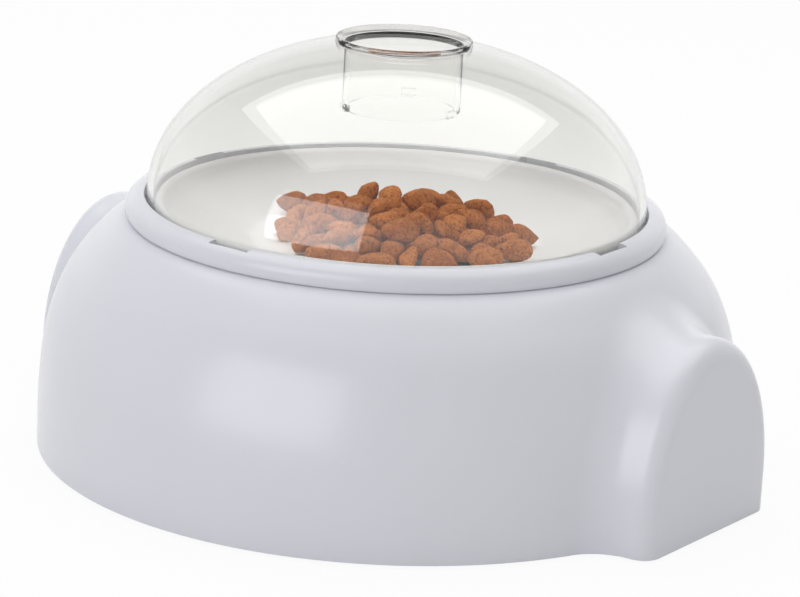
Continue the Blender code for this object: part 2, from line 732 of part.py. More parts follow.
def make_rim_collar():
    lip_z = COLLAR_TOP_Z - COLLAR_LIP
    roll = (COLLAR_OUTER_RADIUS - COLLAR_BORE_RADIUS) / 2
    roll_radius = COLLAR_BORE_RADIUS + roll
    half = COLLAR_HEIGHT / 2
    top = arc((roll_radius, COLLAR_TOP_Z - half), (roll, half), math.radians(140), math.radians(-60), 7)
    profile = [
        *top,
        (COLLAR_FOOT_RADIUS, COLLAR_LOW_Z),
        (COLLAR_INNER_RADIUS, COLLAR_LOW_Z),
        (COLLAR_INNER_RADIUS, COLLAR_LOW_Z + COLLAR_FLOOR),
        (COLLAR_GROOVE_RADIUS, COLLAR_LOW_Z + COLLAR_FLOOR),
        (COLLAR_GROOVE_RADIUS, lip_z),
        (COLLAR_BORE_RADIUS, lip_z),
        (COLLAR_BORE_RADIUS, COLLAR_TOP_Z - half / 2),
    ]
    collar = turned("rim_collar", profile, WHITE)
    for number in range(LUG_COUNT):
        angle = math.tau * number / LUG_COUNT
        half_length = COLLAR_GROOVE_RADIUS * math.tan(WINDOW_ANGLE / 2)
        window = snap_block(
            f"window_{number + 1}",
            COLLAR_BORE_RADIUS - OVERRUN / 2,
            COLLAR_GROOVE_RADIUS,
            half_length,
            COLLAR_LOW_Z + COLLAR_FLOOR + GAP,
            COLLAR_TOP_Z + OVERRUN,
            angle,
        )
        cut(collar, window)
    inner = snap_inner_radius()
    flange_under = BODY_TOP_Z - BODY_WALL - GAP
    for number, angle in enumerate(four_angles(SNAP_ANGLE), 1):
        leg_top = COLLAR_LOW_Z + COLLAR_FLOOR / 2
        leg = snap_block(
            f"snap_leg_{number}",
            inner,
            inner + SNAP_THICKNESS,
            SNAP_LENGTH / 2,
            flange_under - SNAP_CATCH,
            leg_top,
            angle,
        )
        catch = snap_block(
            f"snap_catch_{number}",
            inner + SNAP_THICKNESS / 2,
            inner + SNAP_THICKNESS + SNAP_CATCH,
            SNAP_LENGTH / 2 - GAP,
            flange_under - SNAP_CATCH + GAP,
            flange_under,
            angle,
        )
        join(collar, leg, catch)
    return collar


# Dome lid

def dome_point(turn, inset=0.0):
    """(radius, z) on the dome, from its spring line at 0 to its crown at a quarter turn."""
    radius = (DOME_RADIUS - inset) * math.cos(turn) ** DOME_POWER
    return radius, DOME_SPRING_Z + (DOME_RISE - inset) * math.sin(turn) ** DOME_POWER


def dome_turn_at(radius, inset=0.0):
    return math.acos((radius / (DOME_RADIUS - inset)) ** (1 / DOME_POWER))


def dome_z_at(radius):
    return dome_point(dome_turn_at(radius))[1]


def make_dome_lid():
    hole = TUBE_RADIUS + GAP
    outer_end, inner_end = dome_turn_at(hole), dome_turn_at(hole, DOME_WALL)
    outer = [dome_point(outer_end * (10 - step) / 10) for step in range(11)]
    inner = [dome_point(inner_end * step / 7, DOME_WALL) for step in range(8)]
    profile = [*outer, (DOME_RADIUS, DOME_LOW_Z), (DOME_RADIUS - DOME_WALL, DOME_LOW_Z), *inner]
    dome = turned("dome_lid", profile, CLEAR)
    half_length = LUG_RADIUS * math.tan(LUG_ANGLE / 2)
    for number in range(LUG_COUNT):
        lug = snap_block(
            f"lug_{number + 1}",
            DOME_RADIUS - DOME_WALL / 2,
            LUG_RADIUS,
            half_length,
            DOME_LOW_Z + GAP / 2,
            DOME_LOW_Z + LUG_HEIGHT,
            math.tau * number / LUG_COUNT,
        )
        join(dome, lug)
    return dome


def make_dome_gasket():
    low, high = GASKET_LOW_Z, GASKET_LOW_Z + GASKET_THICKNESS
    outer, inner = COLLAR_GROOVE_RADIUS - OVERRUN / 2, COLLAR_INNER_RADIUS + GAP
    profile = [(outer, high), (outer, low), (inner, low), (inner, high)]
    return turned("dome_gasket", profile, SILICONE)


def make_fill_tube():
    """A tube with a rounded bead that sits on the dome round its hole."""
    bead_low = dome_z_at(TUBE_RADIUS) + GAP
    bead_outer_low = dome_z_at(TUBE_BEAD_OUTER) + 2 * GAP
    bore = TUBE_RADIUS - TUBE_WALL
    middle = (TUBE_BEAD_INNER + TUBE_BEAD_OUTER) / 2
    half = (TUBE_BEAD_OUTER - TUBE_BEAD_INNER) / 2
    bead = arc((middle, bead_low), (half, TUBE_BEAD_HEIGHT), math.radians(150), 0, 6)
    low = bead_low - TUBE_LENGTH
    profile = [
        (bore, bead_low + TUBE_BEAD_HEIGHT / 3),
        *bead,
        (TUBE_BEAD_OUTER, bead_outer_low),
        (TUBE_RADIUS, bead_low),
        (TUBE_RADIUS, low),
        (bore, low),
    ]
    tube = turned("fill_tube", profile, CLEAR, MIDDLE_STEPS)
    for number in range(TUBE_HOOK_COUNT):
        hook = snap_block(
            f"tube_hook_{number + 1}",
            TUBE_RADIUS - TUBE_WALL / 2,
            TUBE_RADIUS + TUBE_HOOK_REACH,
            TUBE_HOOK_WIDTH / 2,
            low + GAP,
            low + TUBE_HOOK_HEIGHT,
            math.tau * number / TUBE_HOOK_COUNT,
        )
        join(tube, hook)
    return tube


# Tray and food

def tray_outer_radius():
    return DOME_RADIUS - DOME_WALL - TRAY_SIDE_CLEARANCE


def tray_bowl(steps):
    """Bowl surface from inside the bead down to the flat floor, as (radius, z)."""
    start = tray_outer_radius() - TRAY_BEAD_WIDTH
    top = COLLAR_LOW_Z + TRAY_BEAD_HEIGHT - TRAY_WALL
    points = []
    for step in range(steps + 1):
        share = step / steps
        radius = start + (TRAY_FLOOR_RADIUS - start) * share
        points.append((radius, TRAY_FLOOR_Z + (top - TRAY_FLOOR_Z) * (1 - share) ** 2))
    return points


def make_hopper_tray():
    rim = tray_outer_radius()
    bead_half = TRAY_BEAD_WIDTH / 2
    bead_z = COLLAR_LOW_Z + TRAY_BEAD_HEIGHT - bead_half
    bead = arc((rim - bead_half, bead_z), (bead_half, bead_half), math.radians(180), 0, 4)
    bowl = tray_bowl(4)
    shaft_hole = SHAFT_RADIUS + 3 * GAP
    under = [(min(radius, FLANGE_BORE_RADIUS - GAP), z - TRAY_WALL) for radius, z in bowl[1:]]
    profile = [
        *bead,
        (rim, COLLAR_LOW_Z),
        (FLANGE_BORE_RADIUS - GAP, COLLAR_LOW_Z),
        *under,
        (shaft_hole, TRAY_FLOOR_Z - TRAY_WALL),
        (shaft_hole, TRAY_FLOOR_Z),
        *reversed(bowl),
    ]
    tray = turned("hopper_tray", profile, TRAY_WHITE)
    low = (DROP_INNER_X, -DROP_HALF_WIDTH, TRAY_FLOOR_Z - TRAY_WALL - OVERRUN)
    high = (DROP_OUTER_X, DROP_HALF_WIDTH, TRAY_FLOOR_Z + OVERRUN)
    return cut(tray, block("drop_hole", low, high))


def heap_profile():
    """Outer side of the heap down to the tray, then its hollow over the agitator."""
    low = TRAY_FLOOR_Z + GAP
    quarter = math.radians(90)
    outer = arc((0, low), (HEAP_RADIUS, HEAP_HEIGHT), quarter, 0, 9)
    inner = arc((0, low), (HEAP_HOLLOW_RADIUS, HEAP_HOLLOW_HEIGHT), 0, quarter, 5)
    return [(0, low + HEAP_HEIGHT), *outer[1:], *inner[:-1], (0, low + HEAP_HOLLOW_HEIGHT)]


def make_kibble_heap():
    """The heap of food, lumpy on its outer side only."""
    shape = bmesh.new()
    points = [shape.verts.new((radius, 0, z)) for radius, z in heap_profile()]
    edges = [shape.edges.new(pair) for pair in zip(points, points[1:])]
    steps = MIDDLE_STEPS
    bmesh.ops.spin(
        shape, geom=points + edges, axis=(0, 0, 1), cent=(0, 0, 0), angle=math.tau, steps=steps, use_merge=True
    )
    bmesh.ops.remove_doubles(shape, verts=shape.verts, dist=GAP / 10)
    bmesh.ops.recalc_face_normals(shape, faces=shape.faces)
    low = TRAY_FLOOR_Z + GAP
    for vert in shape.verts:
        radius = math.hypot(vert.co.x, vert.co.y)
        height = vert.co.z - low
        on_outside = (radius / HEAP_RADIUS) ** 2 + (height / HEAP_HEIGHT) ** 2 > 0.9
        if on_outside and height > GAP and radius > GAP:
            turn = math.atan2(vert.co.y, vert.co.x)
            wave = math.sin(HEAP_LUMPS_ROUND * turn) * math.sin(HEAP_LUMPS_UP * math.pi * height / HEAP_HEIGHT)
            vert.co.z += HEAP_LUMP * wave
    return add_mesh("kibble_heap", shape, FOOD)


# Rotor stack

def ring_profile(outer, inner, low, high):
    return [(outer, high), (outer, low), (inner, low), (inner, high)]


def make_agitator():
    low = TRAY_FLOOR_Z + GAP
    bore = SHAFT_RADIUS + GAP
    profile = ring_profile(AGITATOR_HUB_RADIUS, bore, low, low + AGITATOR_HUB_HEIGHT)
    agitator = turned("agitator", profile, GREY_PLASTIC, SMALL_STEPS)
    arm_low = low + AGITATOR_ARM_LIFT
    half = AGITATOR_ARM_WIDTH / 2
    start = (AGITATOR_HUB_RADIUS + bore) / 2
    for side in (1, -1):
        ends = sorted((side * start, side * AGITATOR_REACH))
        arm = block(
            f"agitator_arm_{side + 2}",
            (-half, ends[0], arm_low),
            (half, ends[1], arm_low + AGITATOR_ARM_HEIGHT),
        )
        join(agitator, arm)
    return agitator


def make_rotor_shaft():
    profile = [
        (0, SHAFT_TOP_Z),
        (SHAFT_RADIUS - GAP, SHAFT_TOP_Z),
        (SHAFT_RADIUS, SHAFT_TOP_Z - GAP),
        (SHAFT_RADIUS, SHAFT_BOTTOM_Z + GAP),
        (SHAFT_RADIUS - GAP, SHAFT_BOTTOM_Z),
        (0, SHAFT_BOTTOM_Z),
    ]
    return spindle("rotor_shaft", profile, STEEL)


def make_meter_rotor():
    """A hub with upright vanes that carry one portion each from the drop hole to the outlet."""
    tip = DRUM_BORE_RADIUS - ROTOR_TIP_CLEARANCE
    outline = []
    between = math.tau / ROTOR_VANES
    root_half = math.asin(ROTOR_VANE / 2 / ROTOR_HUB_RADIUS)
    tip_half = math.asin(ROTOR_VANE / 2 / tip)
    for vane in range(ROTOR_VANES):
        middle = between * (vane + 0.5)
        outline += round_places(ROTOR_HUB_RADIUS, (middle - root_half,))
        outline += round_places(tip, (middle - tip_half, middle + tip_half))
        outline += round_places(ROTOR_HUB_RADIUS, (middle + root_half,))
        spread = between / 2 - root_half
        steps = (0.5, 1.0, 1.5)
        outline += round_places(ROTOR_HUB_RADIUS, [middle + root_half + spread * step for step in steps])
    bore = circle(SHAFT_RADIUS + GAP)
    return plate("meter_rotor", [outline, bore], ROTOR_LOW_Z, ROTOR_HIGH_Z, NATURAL_PLASTIC)


def make_meter_housing():
    """The drum round the rotor, on four legs, with a bush hole and an outlet in its floor."""
    outer = DRUM_BORE_RADIUS + DRUM_WALL
    floor_top = DRUM_FLOOR_Z + DRUM_FLOOR_THICKNESS
    hole = BUSH_RADIUS + GAP
    profile = [
        (outer, DRUM_TOP_Z),
        (outer, DRUM_FLOOR_Z),
        (hole, DRUM_FLOOR_Z),
        (hole, floor_top),
        (DRUM_BORE_RADIUS, floor_top),
        (DRUM_BORE_RADIUS, DRUM_TOP_Z),
    ]
    drum = turned("meter_housing", profile, GREY_PLASTIC, MIDDLE_STEPS)
    for number, (x, y) in enumerate(round_places(DRUM_LEG_RING, DRUM_LEG_ANGLES), 1):
        top = DRUM_FLOOR_Z + DRUM_FLOOR_THICKNESS / 2
        join(drum, rod(f"drum_leg_{number}", DRUM_LEG_RADIUS, (x, y, SEAT_Z), (x, y, top), steps=TINY_STEPS))
    low = (OUTLET_OUTER_X, -OUTLET_HALF_WIDTH, DRUM_FLOOR_Z - OVERRUN)
    high = (OUTLET_INNER_X, OUTLET_HALF_WIDTH, floor_top + OVERRUN)
    return cut(drum, block("outlet_hole", low, high))


def make_bush(name, flange_z):
    """A flanged bush that drops into its hole from above."""
    bore = SHAFT_RADIUS + GAP
    profile = [
        (BUSH_FLANGE_RADIUS, flange_z + BUSH_FLANGE),
        (BUSH_FLANGE_RADIUS, flange_z),
        (BUSH_RADIUS, flange_z),
        (BUSH_RADIUS, flange_z - BUSH_LENGTH),
        (bore, flange_z - BUSH_LENGTH),
        (bore, flange_z + BUSH_FLANGE),
    ]
    return turned(name, profile, BRASS, SMALL_STEPS)


def make_retaining_ring():
    """A spring ring with a slot, under the lower bush."""
    high = LOWER_BUSH_Z - BUSH_LENGTH - GAP
    profile = ring_profile(RING_RADIUS, SHAFT_RADIUS + GAP, high - RING_THICKNESS, high)
    ring = turned("retaining_ring", profile, STEEL, SMALL_STEPS)
    low = (0, -RING_SLOT_HALF_WIDTH, high - RING_THICKNESS - OVERRUN)
    slot = block("ring_slot", low, (RING_RADIUS + OVERRUN, RING_SLOT_HALF_WIDTH, high + OVERRUN))
    return cut(ring, slot)


# Gears and motor

def involute(base_radius, radius):
    """The angle that an involute has unrolled where it reaches a radius."""
    turn = math.acos(min(base_radius / radius, 1))
    return math.tan(turn) - turn


def gear_outline(teeth, phase):
    """Involute teeth with straight roots. A tooth is centred on the phase angle."""
    pitch = GEAR_MODULE * teeth / 2
    base = pitch * math.cos(PRESSURE_ANGLE)
    tip = pitch + ADDENDUM_SHARE * GEAR_MODULE
    root = pitch - DEDENDUM_SHARE * GEAR_MODULE
    half_tooth = math.pi / (2 * teeth) - TOOTH_BACKLASH / (2 * pitch) + involute(base, pitch)
    start = max(base, root)
    flank = [start + (tip - start) * step / FLANK_STEPS for step in range(FLANK_STEPS + 1)]
    outline = []
    for tooth in range(teeth):
        middle = phase + math.tau * tooth / teeth
        rising = [(radius, middle - half_tooth + involute(base, radius)) for radius in flank]
        falling = [(radius, 2 * middle - angle) for radius, angle in reversed(rising)]
        roots = [(root, rising[0][1])], [(root, falling[-1][1])]
        if root >= base:
            roots = [], []
        for radius, angle in [*roots[0], *rising, *falling, *roots[1]]:
            outline.append((radius * math.cos(angle), radius * math.sin(angle)))
    return outline


def make_drive_gear():
    outline = gear_outline(GEAR_TEETH, 0.0)
    bore = circle(SHAFT_RADIUS + GAP)
    return plate("drive_gear", [outline, bore], GEAR_LOW_Z, GEAR_LOW_Z + GEAR_THICKNESS, NATURAL_PLASTIC)


def make_motor_pinion():
    """A tooth of the big gear points at the pinion, so a space of the pinion faces it."""
    outline = gear_outline(PINION_TEETH, math.pi + math.pi / PINION_TEETH)
    bore = circle(MOTOR_SHAFT_RADIUS + GAP)
    shifted = [[(x + GEAR_CENTRES, y) for x, y in loop] for loop in (outline, bore)]
    low = GEAR_LOW_Z + PINION_LIFT
    return plate("motor_pinion", shifted, low, low + GEAR_THICKNESS, BRASS)


def make_gear_motor():
    """Gearbox over a round can, with a blind bore for its output shaft."""
    box_low = MOTOR_TOP_Z - MOTOR_BOX_HEIGHT
    bore = MOTOR_SHAFT_RADIUS + GAP
    floor = MOTOR_TOP_Z - MOTOR_SHAFT_DEPTH - GAP
    profile = [
        (0, floor),
        (bore, floor),
        (bore, MOTOR_TOP_Z),
        (MOTOR_BOX_RADIUS, MOTOR_TOP_Z),
        (MOTOR_BOX_RADIUS, box_low),
        (MOTOR_CAN_RADIUS, box_low),
        (MOTOR_CAN_RADIUS, box_low - MOTOR_CAN_HEIGHT),
        (0, box_low - MOTOR_CAN_HEIGHT),
    ]
    motor = spindle("gear_motor", profile, STEEL, SMALL_STEPS)
    motor.location.x = GEAR_CENTRES
    for number, side in enumerate((1, -1), 1):
        y = side * MOTOR_SCREW_OFFSET
        low = FRAME_TOP_Z + GAP - MOTOR_SCREW_LENGTH - GAP
        hole = rod(
            f"motor_thread_{number}",
            MOTOR_SCREW_RADIUS + GAP,
            (GEAR_CENTRES, y, low),
            (GEAR_CENTRES, y, MOTOR_TOP_Z + OVERRUN),
            steps=TINY_STEPS,
        )
        cut(motor, hole)
    return motor


def make_motor_shaft():
    low = MOTOR_TOP_Z - MOTOR_SHAFT_DEPTH
    profile = [
        (0, low + MOTOR_SHAFT_LENGTH),
        (MOTOR_SHAFT_RADIUS, low + MOTOR_SHAFT_LENGTH),
        (MOTOR_SHAFT_RADIUS, low),
        (0, low),
    ]
    shaft = spindle("motor_shaft", profile, STEEL, TINY_STEPS)
    shaft.location.x = GEAR_CENTRES
    return shaft


def make_motor_screws():
    for number, side in enumerate((1, -1), 1):
        head_low = FRAME_TOP_Z + GAP
        profile = [
            (0, head_low + MOTOR_SCREW_HEAD),
            (MOTOR_SCREW_HEAD_RADIUS, head_low + MOTOR_SCREW_HEAD),
            (MOTOR_SCREW_HEAD_RADIUS, head_low),
            (MOTOR_SCREW_RADIUS, head_low),
            (MOTOR_SCREW_RADIUS, head_low - MOTOR_SCREW_LENGTH),
            (0, head_low - MOTOR_SCREW_LENGTH),
        ]
        screw = spindle(f"motor_screw_{number}", profile, STEEL, TINY_STEPS)
        screw.location = (GEAR_CENTRES, side * MOTOR_SCREW_OFFSET, 0)


def make_gear_frame():
    """A plate on three posts: it carries the lower bush and the motor."""
    quarter = math.radians(90)
    left = arc((0, 0), (FRAME_RADIUS, FRAME_RADIUS), quarter, 3 * quarter, 14)
    right = arc((FRAME_ARM_X, 0), (FRAME_ARM_RADIUS, FRAME_ARM_RADIUS), -quarter, quarter, 12)
    holes = [circle(BUSH_RADIUS + GAP), circle(MOTOR_SHAFT_RADIUS + 3 * GAP, TINY_STEPS, GEAR_CENTRES)]
    for side in (1, -1):
        y = side * MOTOR_SCREW_OFFSET
        holes.append(circle(MOTOR_SCREW_RADIUS + GAP, TINY_STEPS, GEAR_CENTRES, y))
    frame = plate("gear_frame", [left + right, *holes], FRAME_PLATE_Z, FRAME_TOP_Z, GREY_PLASTIC)
    for number, (x, y) in enumerate(FRAME_POST_PLACES, 1):
        top = FRAME_PLATE_Z + FRAME_PLATE / 2
        join(frame, rod(f"frame_post_{number}", FRAME_POST_RADIUS, (x, y, SEAT_Z), (x, y, top), steps=TINY_STEPS))
    return frame


# Feeding bay

def make_alcove_liner():
    """An arched room with a floor and a back wall, open at the lobe's end face."""
    front, back = -(LOBE_END_X - BAY_FRONT_INSET), BAY_BACK_X
    outside = arch(BAY_HALF_WIDTH - GAP, SEAT_Z, BAY_SIDE_HEIGHT, BAY_APEX_Z - GAP)
    inside = arch(
        BAY_HALF_WIDTH - GAP - BAY_WALL, SEAT_Z + BAY_WALL, BAY_SIDE_HEIGHT, BAY_APEX_Z - GAP - BAY_WALL
    )
    liner = arch_prism("alcove_liner", outside, back, front, look=TRAY_WHITE)
    cut(liner, arch_prism("alcove_room", inside, back - BAY_BACK_WALL, front - OVERRUN))
    rim_y = CHUTE_HALF_WIDTH + FLAP_SEAT_MARGIN
    rim_low = (back - BAY_BACK_WALL - FLAP_SEAT, -rim_y, CHUTE_MOUTH_LOW_Z - FLAP_SEAT_MARGIN)
    rim_high = (back - BAY_BACK_WALL / 2, rim_y, CHUTE_MOUTH_HIGH_Z + FLAP_SEAT_MARGIN)
    join(liner, block("flap_seat", rim_low, rim_high))
    low = (back - BAY_BACK_WALL - OVERRUN, -CHUTE_HALF_WIDTH, CHUTE_MOUTH_LOW_Z)
    high = (back + OVERRUN, CHUTE_HALF_WIDTH, CHUTE_MOUTH_HIGH_Z)
    cut(liner, block("chute_mouth", low, high))
    ear_inner = FLAP_HALF_WIDTH + GAP
    for side in (1, -1):
        ear = rod(
            f"flap_ear_{side + 2}",
            FLAP_EAR_RADIUS,
            (FLAP_PIN_X, side * ear_inner, FLAP_PIN_Z),
            (FLAP_PIN_X, side * (ear_inner + FLAP_EAR), FLAP_PIN_Z),
            steps=TINY_STEPS,
        )
        low_y, high_y = sorted((side * ear_inner, side * (ear_inner + FLAP_EAR)))
        web = block(
            f"flap_web_{side + 2}",
            (FLAP_PIN_X, low_y, FLAP_PIN_Z - FLAP_EAR_RADIUS / 2),
            (back - BAY_BACK_WALL / 2, high_y, FLAP_PIN_Z + FLAP_EAR_RADIUS / 2),
        )
        join(liner, ear, web)
    reach = ear_inner + FLAP_EAR + OVERRUN
    hole = rod(
        "flap_pin_hole",
        FLAP_PIN_RADIUS + GAP,
        (FLAP_PIN_X, -reach, FLAP_PIN_Z),
        (FLAP_PIN_X, reach, FLAP_PIN_Z),
        steps=TINY_STEPS,
    )
    return cut(liner, hole)


def make_outlet_flap():
    """The flap hangs from its pin over the chute's mouth and swings out into the bay."""
    flap = rod(
        "outlet_flap",
        FLAP_KNUCKLE_RADIUS,
        (FLAP_PIN_X, -FLAP_HALF_WIDTH, FLAP_PIN_Z),
        (FLAP_PIN_X, FLAP_HALF_WIDTH, FLAP_PIN_Z),
        TRAY_WHITE,
        TINY_STEPS,
    )
    half = FLAP_THICKNESS / 2
    leaf = block(
        "flap_leaf",
        (FLAP_PIN_X - half, -FLAP_HALF_WIDTH + GAP, FLAP_BOTTOM_Z),
        (FLAP_PIN_X + half, FLAP_HALF_WIDTH - GAP, FLAP_PIN_Z - FLAP_PIN_RADIUS),
    )
    reach = FLAP_HALF_WIDTH + OVERRUN
    hole = rod(
        "flap_bore",
        FLAP_PIN_RADIUS + GAP,
        (FLAP_PIN_X, -reach, FLAP_PIN_Z),
        (FLAP_PIN_X, reach, FLAP_PIN_Z),
        steps=TINY_STEPS,
    )
    join(flap, leaf)
    return cut(flap, hole)


def make_flap_pin():
    reach = FLAP_HALF_WIDTH + GAP + FLAP_EAR
    return rod(
        "flap_pin",
        FLAP_PIN_RADIUS,
        (FLAP_PIN_X, -reach, FLAP_PIN_Z),
        (FLAP_PIN_X, reach, FLAP_PIN_Z),
        STEEL,
        TINY_STEPS,
    )


def make_outlet_chute():
    """A covered slide from under the drum to the bay's back wall, open at both ends."""
    end_x = BAY_BACK_X + GAP
    top_z = DRUM_FLOOR_Z - GAP
    inner_x = OUTLET_INNER_X + GAP
    outer_x = OUTLET_OUTER_X - GAP
    outside = [
        (inner_x + CHUTE_WALL, top_z),
        (outer_x - CHUTE_WALL, top_z),
        (end_x, CHUTE_MOUTH_HIGH_Z + CHUTE_WALL),
        (end_x, CHUTE_MOUTH_LOW_Z - CHUTE_WALL),
        (inner_x + CHUTE_WALL, CHUTE_FLOOR_TOP_Z - CHUTE_WALL),
    ]
    slope = (CHUTE_FLOOR_TOP_Z - CHUTE_MOUTH_LOW_Z) / (inner_x - end_x)
    past = OVERRUN / 2
    inside = [
        (inner_x, top_z + past),
        (outer_x, top_z + past),
        (outer_x, top_z - CHUTE_WALL / 2),
        (end_x, CHUTE_MOUTH_HIGH_Z),
        (end_x - past, CHUTE_MOUTH_HIGH_Z),
        (end_x - past, CHUTE_MOUTH_LOW_Z - slope * past),
        (inner_x, CHUTE_FLOOR_TOP_Z),
    ]
    half = CHUTE_HALF_WIDTH + CHUTE_WALL
    chute = prism("outlet_chute", outside, 2 * half, GREY_PLASTIC)
    room = prism("chute_room", inside, 2 * CHUTE_HALF_WIDTH)
    upright = Matrix.Rotation(math.radians(90), 4, "X")
    chute.data.transform(Matrix.Translation((0, half, 0)) @ upright)
    room.data.transform(Matrix.Translation((0, CHUTE_HALF_WIDTH, 0)) @ upright)
    return cut(chute, room)


def make_feed_dish():
    low_z = SEAT_Z + BAY_WALL + GAP
    back_x = BAY_BACK_X - BAY_BACK_WALL - GAP
    front_x = back_x - DISH_LENGTH
    outline = rounded_rectangle((front_x, -DISH_HALF_WIDTH), (back_x, DISH_HALF_WIDTH), DISH_CORNER)
    inset = DISH_WALL
    hollow = rounded_rectangle(
        (front_x + inset, -DISH_HALF_WIDTH + inset),
        (back_x - inset, DISH_HALF_WIDTH - inset),
        DISH_CORNER - inset,
    )
    dish = prism("feed_dish", outline, DISH_HEIGHT, TRAY_WHITE)
    dish.data.transform(Matrix.Translation((0, 0, low_z)))
    room = prism("dish_room", hollow, DISH_HEIGHT + OVERRUN)
    room.data.transform(Matrix.Translation((0, 0, low_z + DISH_WALL)))
    cut(dish, room)
    grip = block(
        "dish_grip",
        (front_x - DISH_GRIP, -DISH_GRIP_HALF_WIDTH, low_z + DISH_HEIGHT - DISH_WALL),
        (front_x + DISH_WALL / 2, DISH_GRIP_HALF_WIDTH, low_z + DISH_HEIGHT - GAP / 2),
    )
    return join(dish, grip)


# Base plate and what stands under it

def base_outline():
    """The body's inside outline, less a clearance: a circle with a lobe at each end of X."""
    radius = BODY_BASE_RADIUS - BODY_WALL - BASE_CLEARANCE
    half = LOBE_HALF_WIDTH - BODY_WALL - BASE_CLEARANCE
    end = LOBE_END_X - BODY_WALL - BASE_CLEARANCE
    facet = math.tau / LARGE_STEPS
    flat_radius = radius * math.cos(facet / 2)
    meet = math.asin(half / flat_radius)
    first = facet * math.ceil(meet / facet)
    corner = BASE_CORNER
    quarter = math.radians(90)
    outline = []
    for side in (0, math.pi):
        lobe = arc((end - corner, -half + corner), (corner, corner), -quarter, 0, 3)
        lobe += arc((end - corner, half - corner), (corner, corner), 0, quarter, 3)
        lobe += round_places(flat_radius, (meet,))
        lobe += arc((0, 0), (radius, radius), first, math.pi - first, round((math.pi - 2 * first) / facet))
        lobe += round_places(flat_radius, (math.pi - meet,))
        outline += [
            (x * math.cos(side) - y * math.sin(side), x * math.sin(side) + y * math.cos(side)) for x, y in lobe
        ]
    return outline


def cell_box_inside():
    """(low, high) corners in XY of the room that holds the cells and their contacts."""
    half_y = CELL_LENGTH / 2 + CONTACT_ROOM
    return (CELL_ROW_X - CELL_ROW_HALF, -half_y), (CELL_ROW_X + CELL_ROW_HALF, half_y)


def make_base_plate():
    low, high = cell_box_inside()
    base = prism("base_plate", base_outline(), BASE_THICKNESS, GREY_PLASTIC)
    base.data.transform(Matrix.Translation((0, 0, BASE_BOTTOM_Z)))
    under, over = BASE_BOTTOM_Z - OVERRUN, BASE_TOP_Z + OVERRUN
    cut(base, block("cell_opening", (*low, under), (*high, over)))
    holes = [(place, SCREW_RADIUS) for place in round_places(BOSS_RING, four_angles(BOSS_ANGLE))]
    holes += [(place, FOOT_STUD_RADIUS) for place in round_places(FOOT_RING, four_angles(FOOT_ANGLE))]
    for number, ((x, y), radius) in enumerate(holes, 1):
        cut(base, rod(f"base_hole_{number}", radius + GAP, (x, y, under), (x, y, over), steps=TINY_STEPS))
    door_edge = high[1] + DOOR_OVERLAP
    start = high[0] + DOOR_OVERLAP - DOOR_TRAVEL - DOOR_HELD_LENGTH
    lip_top = DOOR_LOW_Z - GAP
    lip_low = lip_top - RAIL_LIP_THICKNESS
    for side in (1, -1):
        inner, outer = door_edge + GAP, door_edge + GAP + RAIL_WALL
        leg_y = sorted((side * inner, side * outer))
        lip_y = sorted((side * (door_edge - RAIL_LIP), side * outer))
        end = high[0] + DOOR_OVERLAP
        leg = block(
            f"rail_leg_{side + 2}", (start, leg_y[0], lip_low), (end, leg_y[1], BASE_BOTTOM_Z + BASE_THICKNESS / 2)
        )
        lip = block(f"rail_lip_{side + 2}", (start + GAP, lip_y[0], lip_low), (end - GAP, lip_y[1], lip_top))
        join(leg, lip)
        join(base, leg)
    return base


def make_feet():
    """Rubber feet, each pushed into the base plate by its stud."""
    pad_top = BASE_BOTTOM_Z - GAP
    for number, (x, y) in enumerate(round_places(FOOT_RING, four_angles(FOOT_ANGLE)), 1):
        profile = [
            (0, pad_top + FOOT_STUD_HEIGHT),
            (FOOT_STUD_RADIUS, pad_top + FOOT_STUD_HEIGHT),
            (FOOT_STUD_RADIUS, pad_top),
            (FOOT_RADIUS, pad_top),
            (FOOT_RADIUS, GAP),
            (FOOT_RADIUS - GAP, 0),
            (0, 0),
        ]
        foot = spindle(f"rubber_foot_{number}", profile, RUBBER)
        foot.location = (x, y, 0)


def make_base_screws():
    head_top = BASE_BOTTOM_Z - GAP
    for number, (x, y) in enumerate(round_places(BOSS_RING, four_angles(BOSS_ANGLE)), 1):
        profile = [
            (0, head_top + SCREW_LENGTH),
            (SCREW_RADIUS, head_top + SCREW_LENGTH),
            (SCREW_RADIUS, head_top),
            (SCREW_HEAD_RADIUS, head_top),
            (SCREW_HEAD_RADIUS, head_top - SCREW_HEAD / 2),
            (SCREW_HEAD_RADIUS / 2, head_top - SCREW_HEAD),
            (0, head_top - SCREW_HEAD),
        ]
        screw = spindle(f"base_screw_{number}", profile, STEEL, TINY_STEPS)
        screw.location = (x, y, 0)


# Batteries

def make_battery_box():
    """A tub upside down over the cells, standing on the base plate."""
    low, high = cell_box_inside()
    roof = CELL_Z + CELL_RADIUS + GAP
    wall = CELL_BOX_WALL
    corner, far_corner = (low[0] - wall, low[1] - wall, SEAT_Z), (high[0] + wall, high[1] + wall, roof + wall)
    box = block("battery_box", corner, far_corner, GREY_PLASTIC)
    room = block("battery_room", (*low, SEAT_Z - OVERRUN), (*high, roof))
    return cut(box, room)


def cell_x(index):
    return CELL_ROW_X + CELL_PITCH * (index - (CELL_COUNT - 1) / 2)


def make_cells():
    """Cells laid along Y, each second one turned round."""
    half = CELL_LENGTH / 2
    for index in range(CELL_COUNT):
        profile = [
            (0, half),
            (CELL_NUB_RADIUS, half),
            (CELL_NUB_RADIUS, half - CELL_NUB),
            (CELL_RADIUS, half - CELL_NUB),
            (CELL_RADIUS, -half),
            (0, -half),
        ]
        cell = spindle(f"battery_cell_{index + 1}", profile, CELL_SKIN)
        cell.rotation_euler.x = math.radians(-90 if index % 2 else 90)
        cell.location = (cell_x(index), 0, CELL_Z)


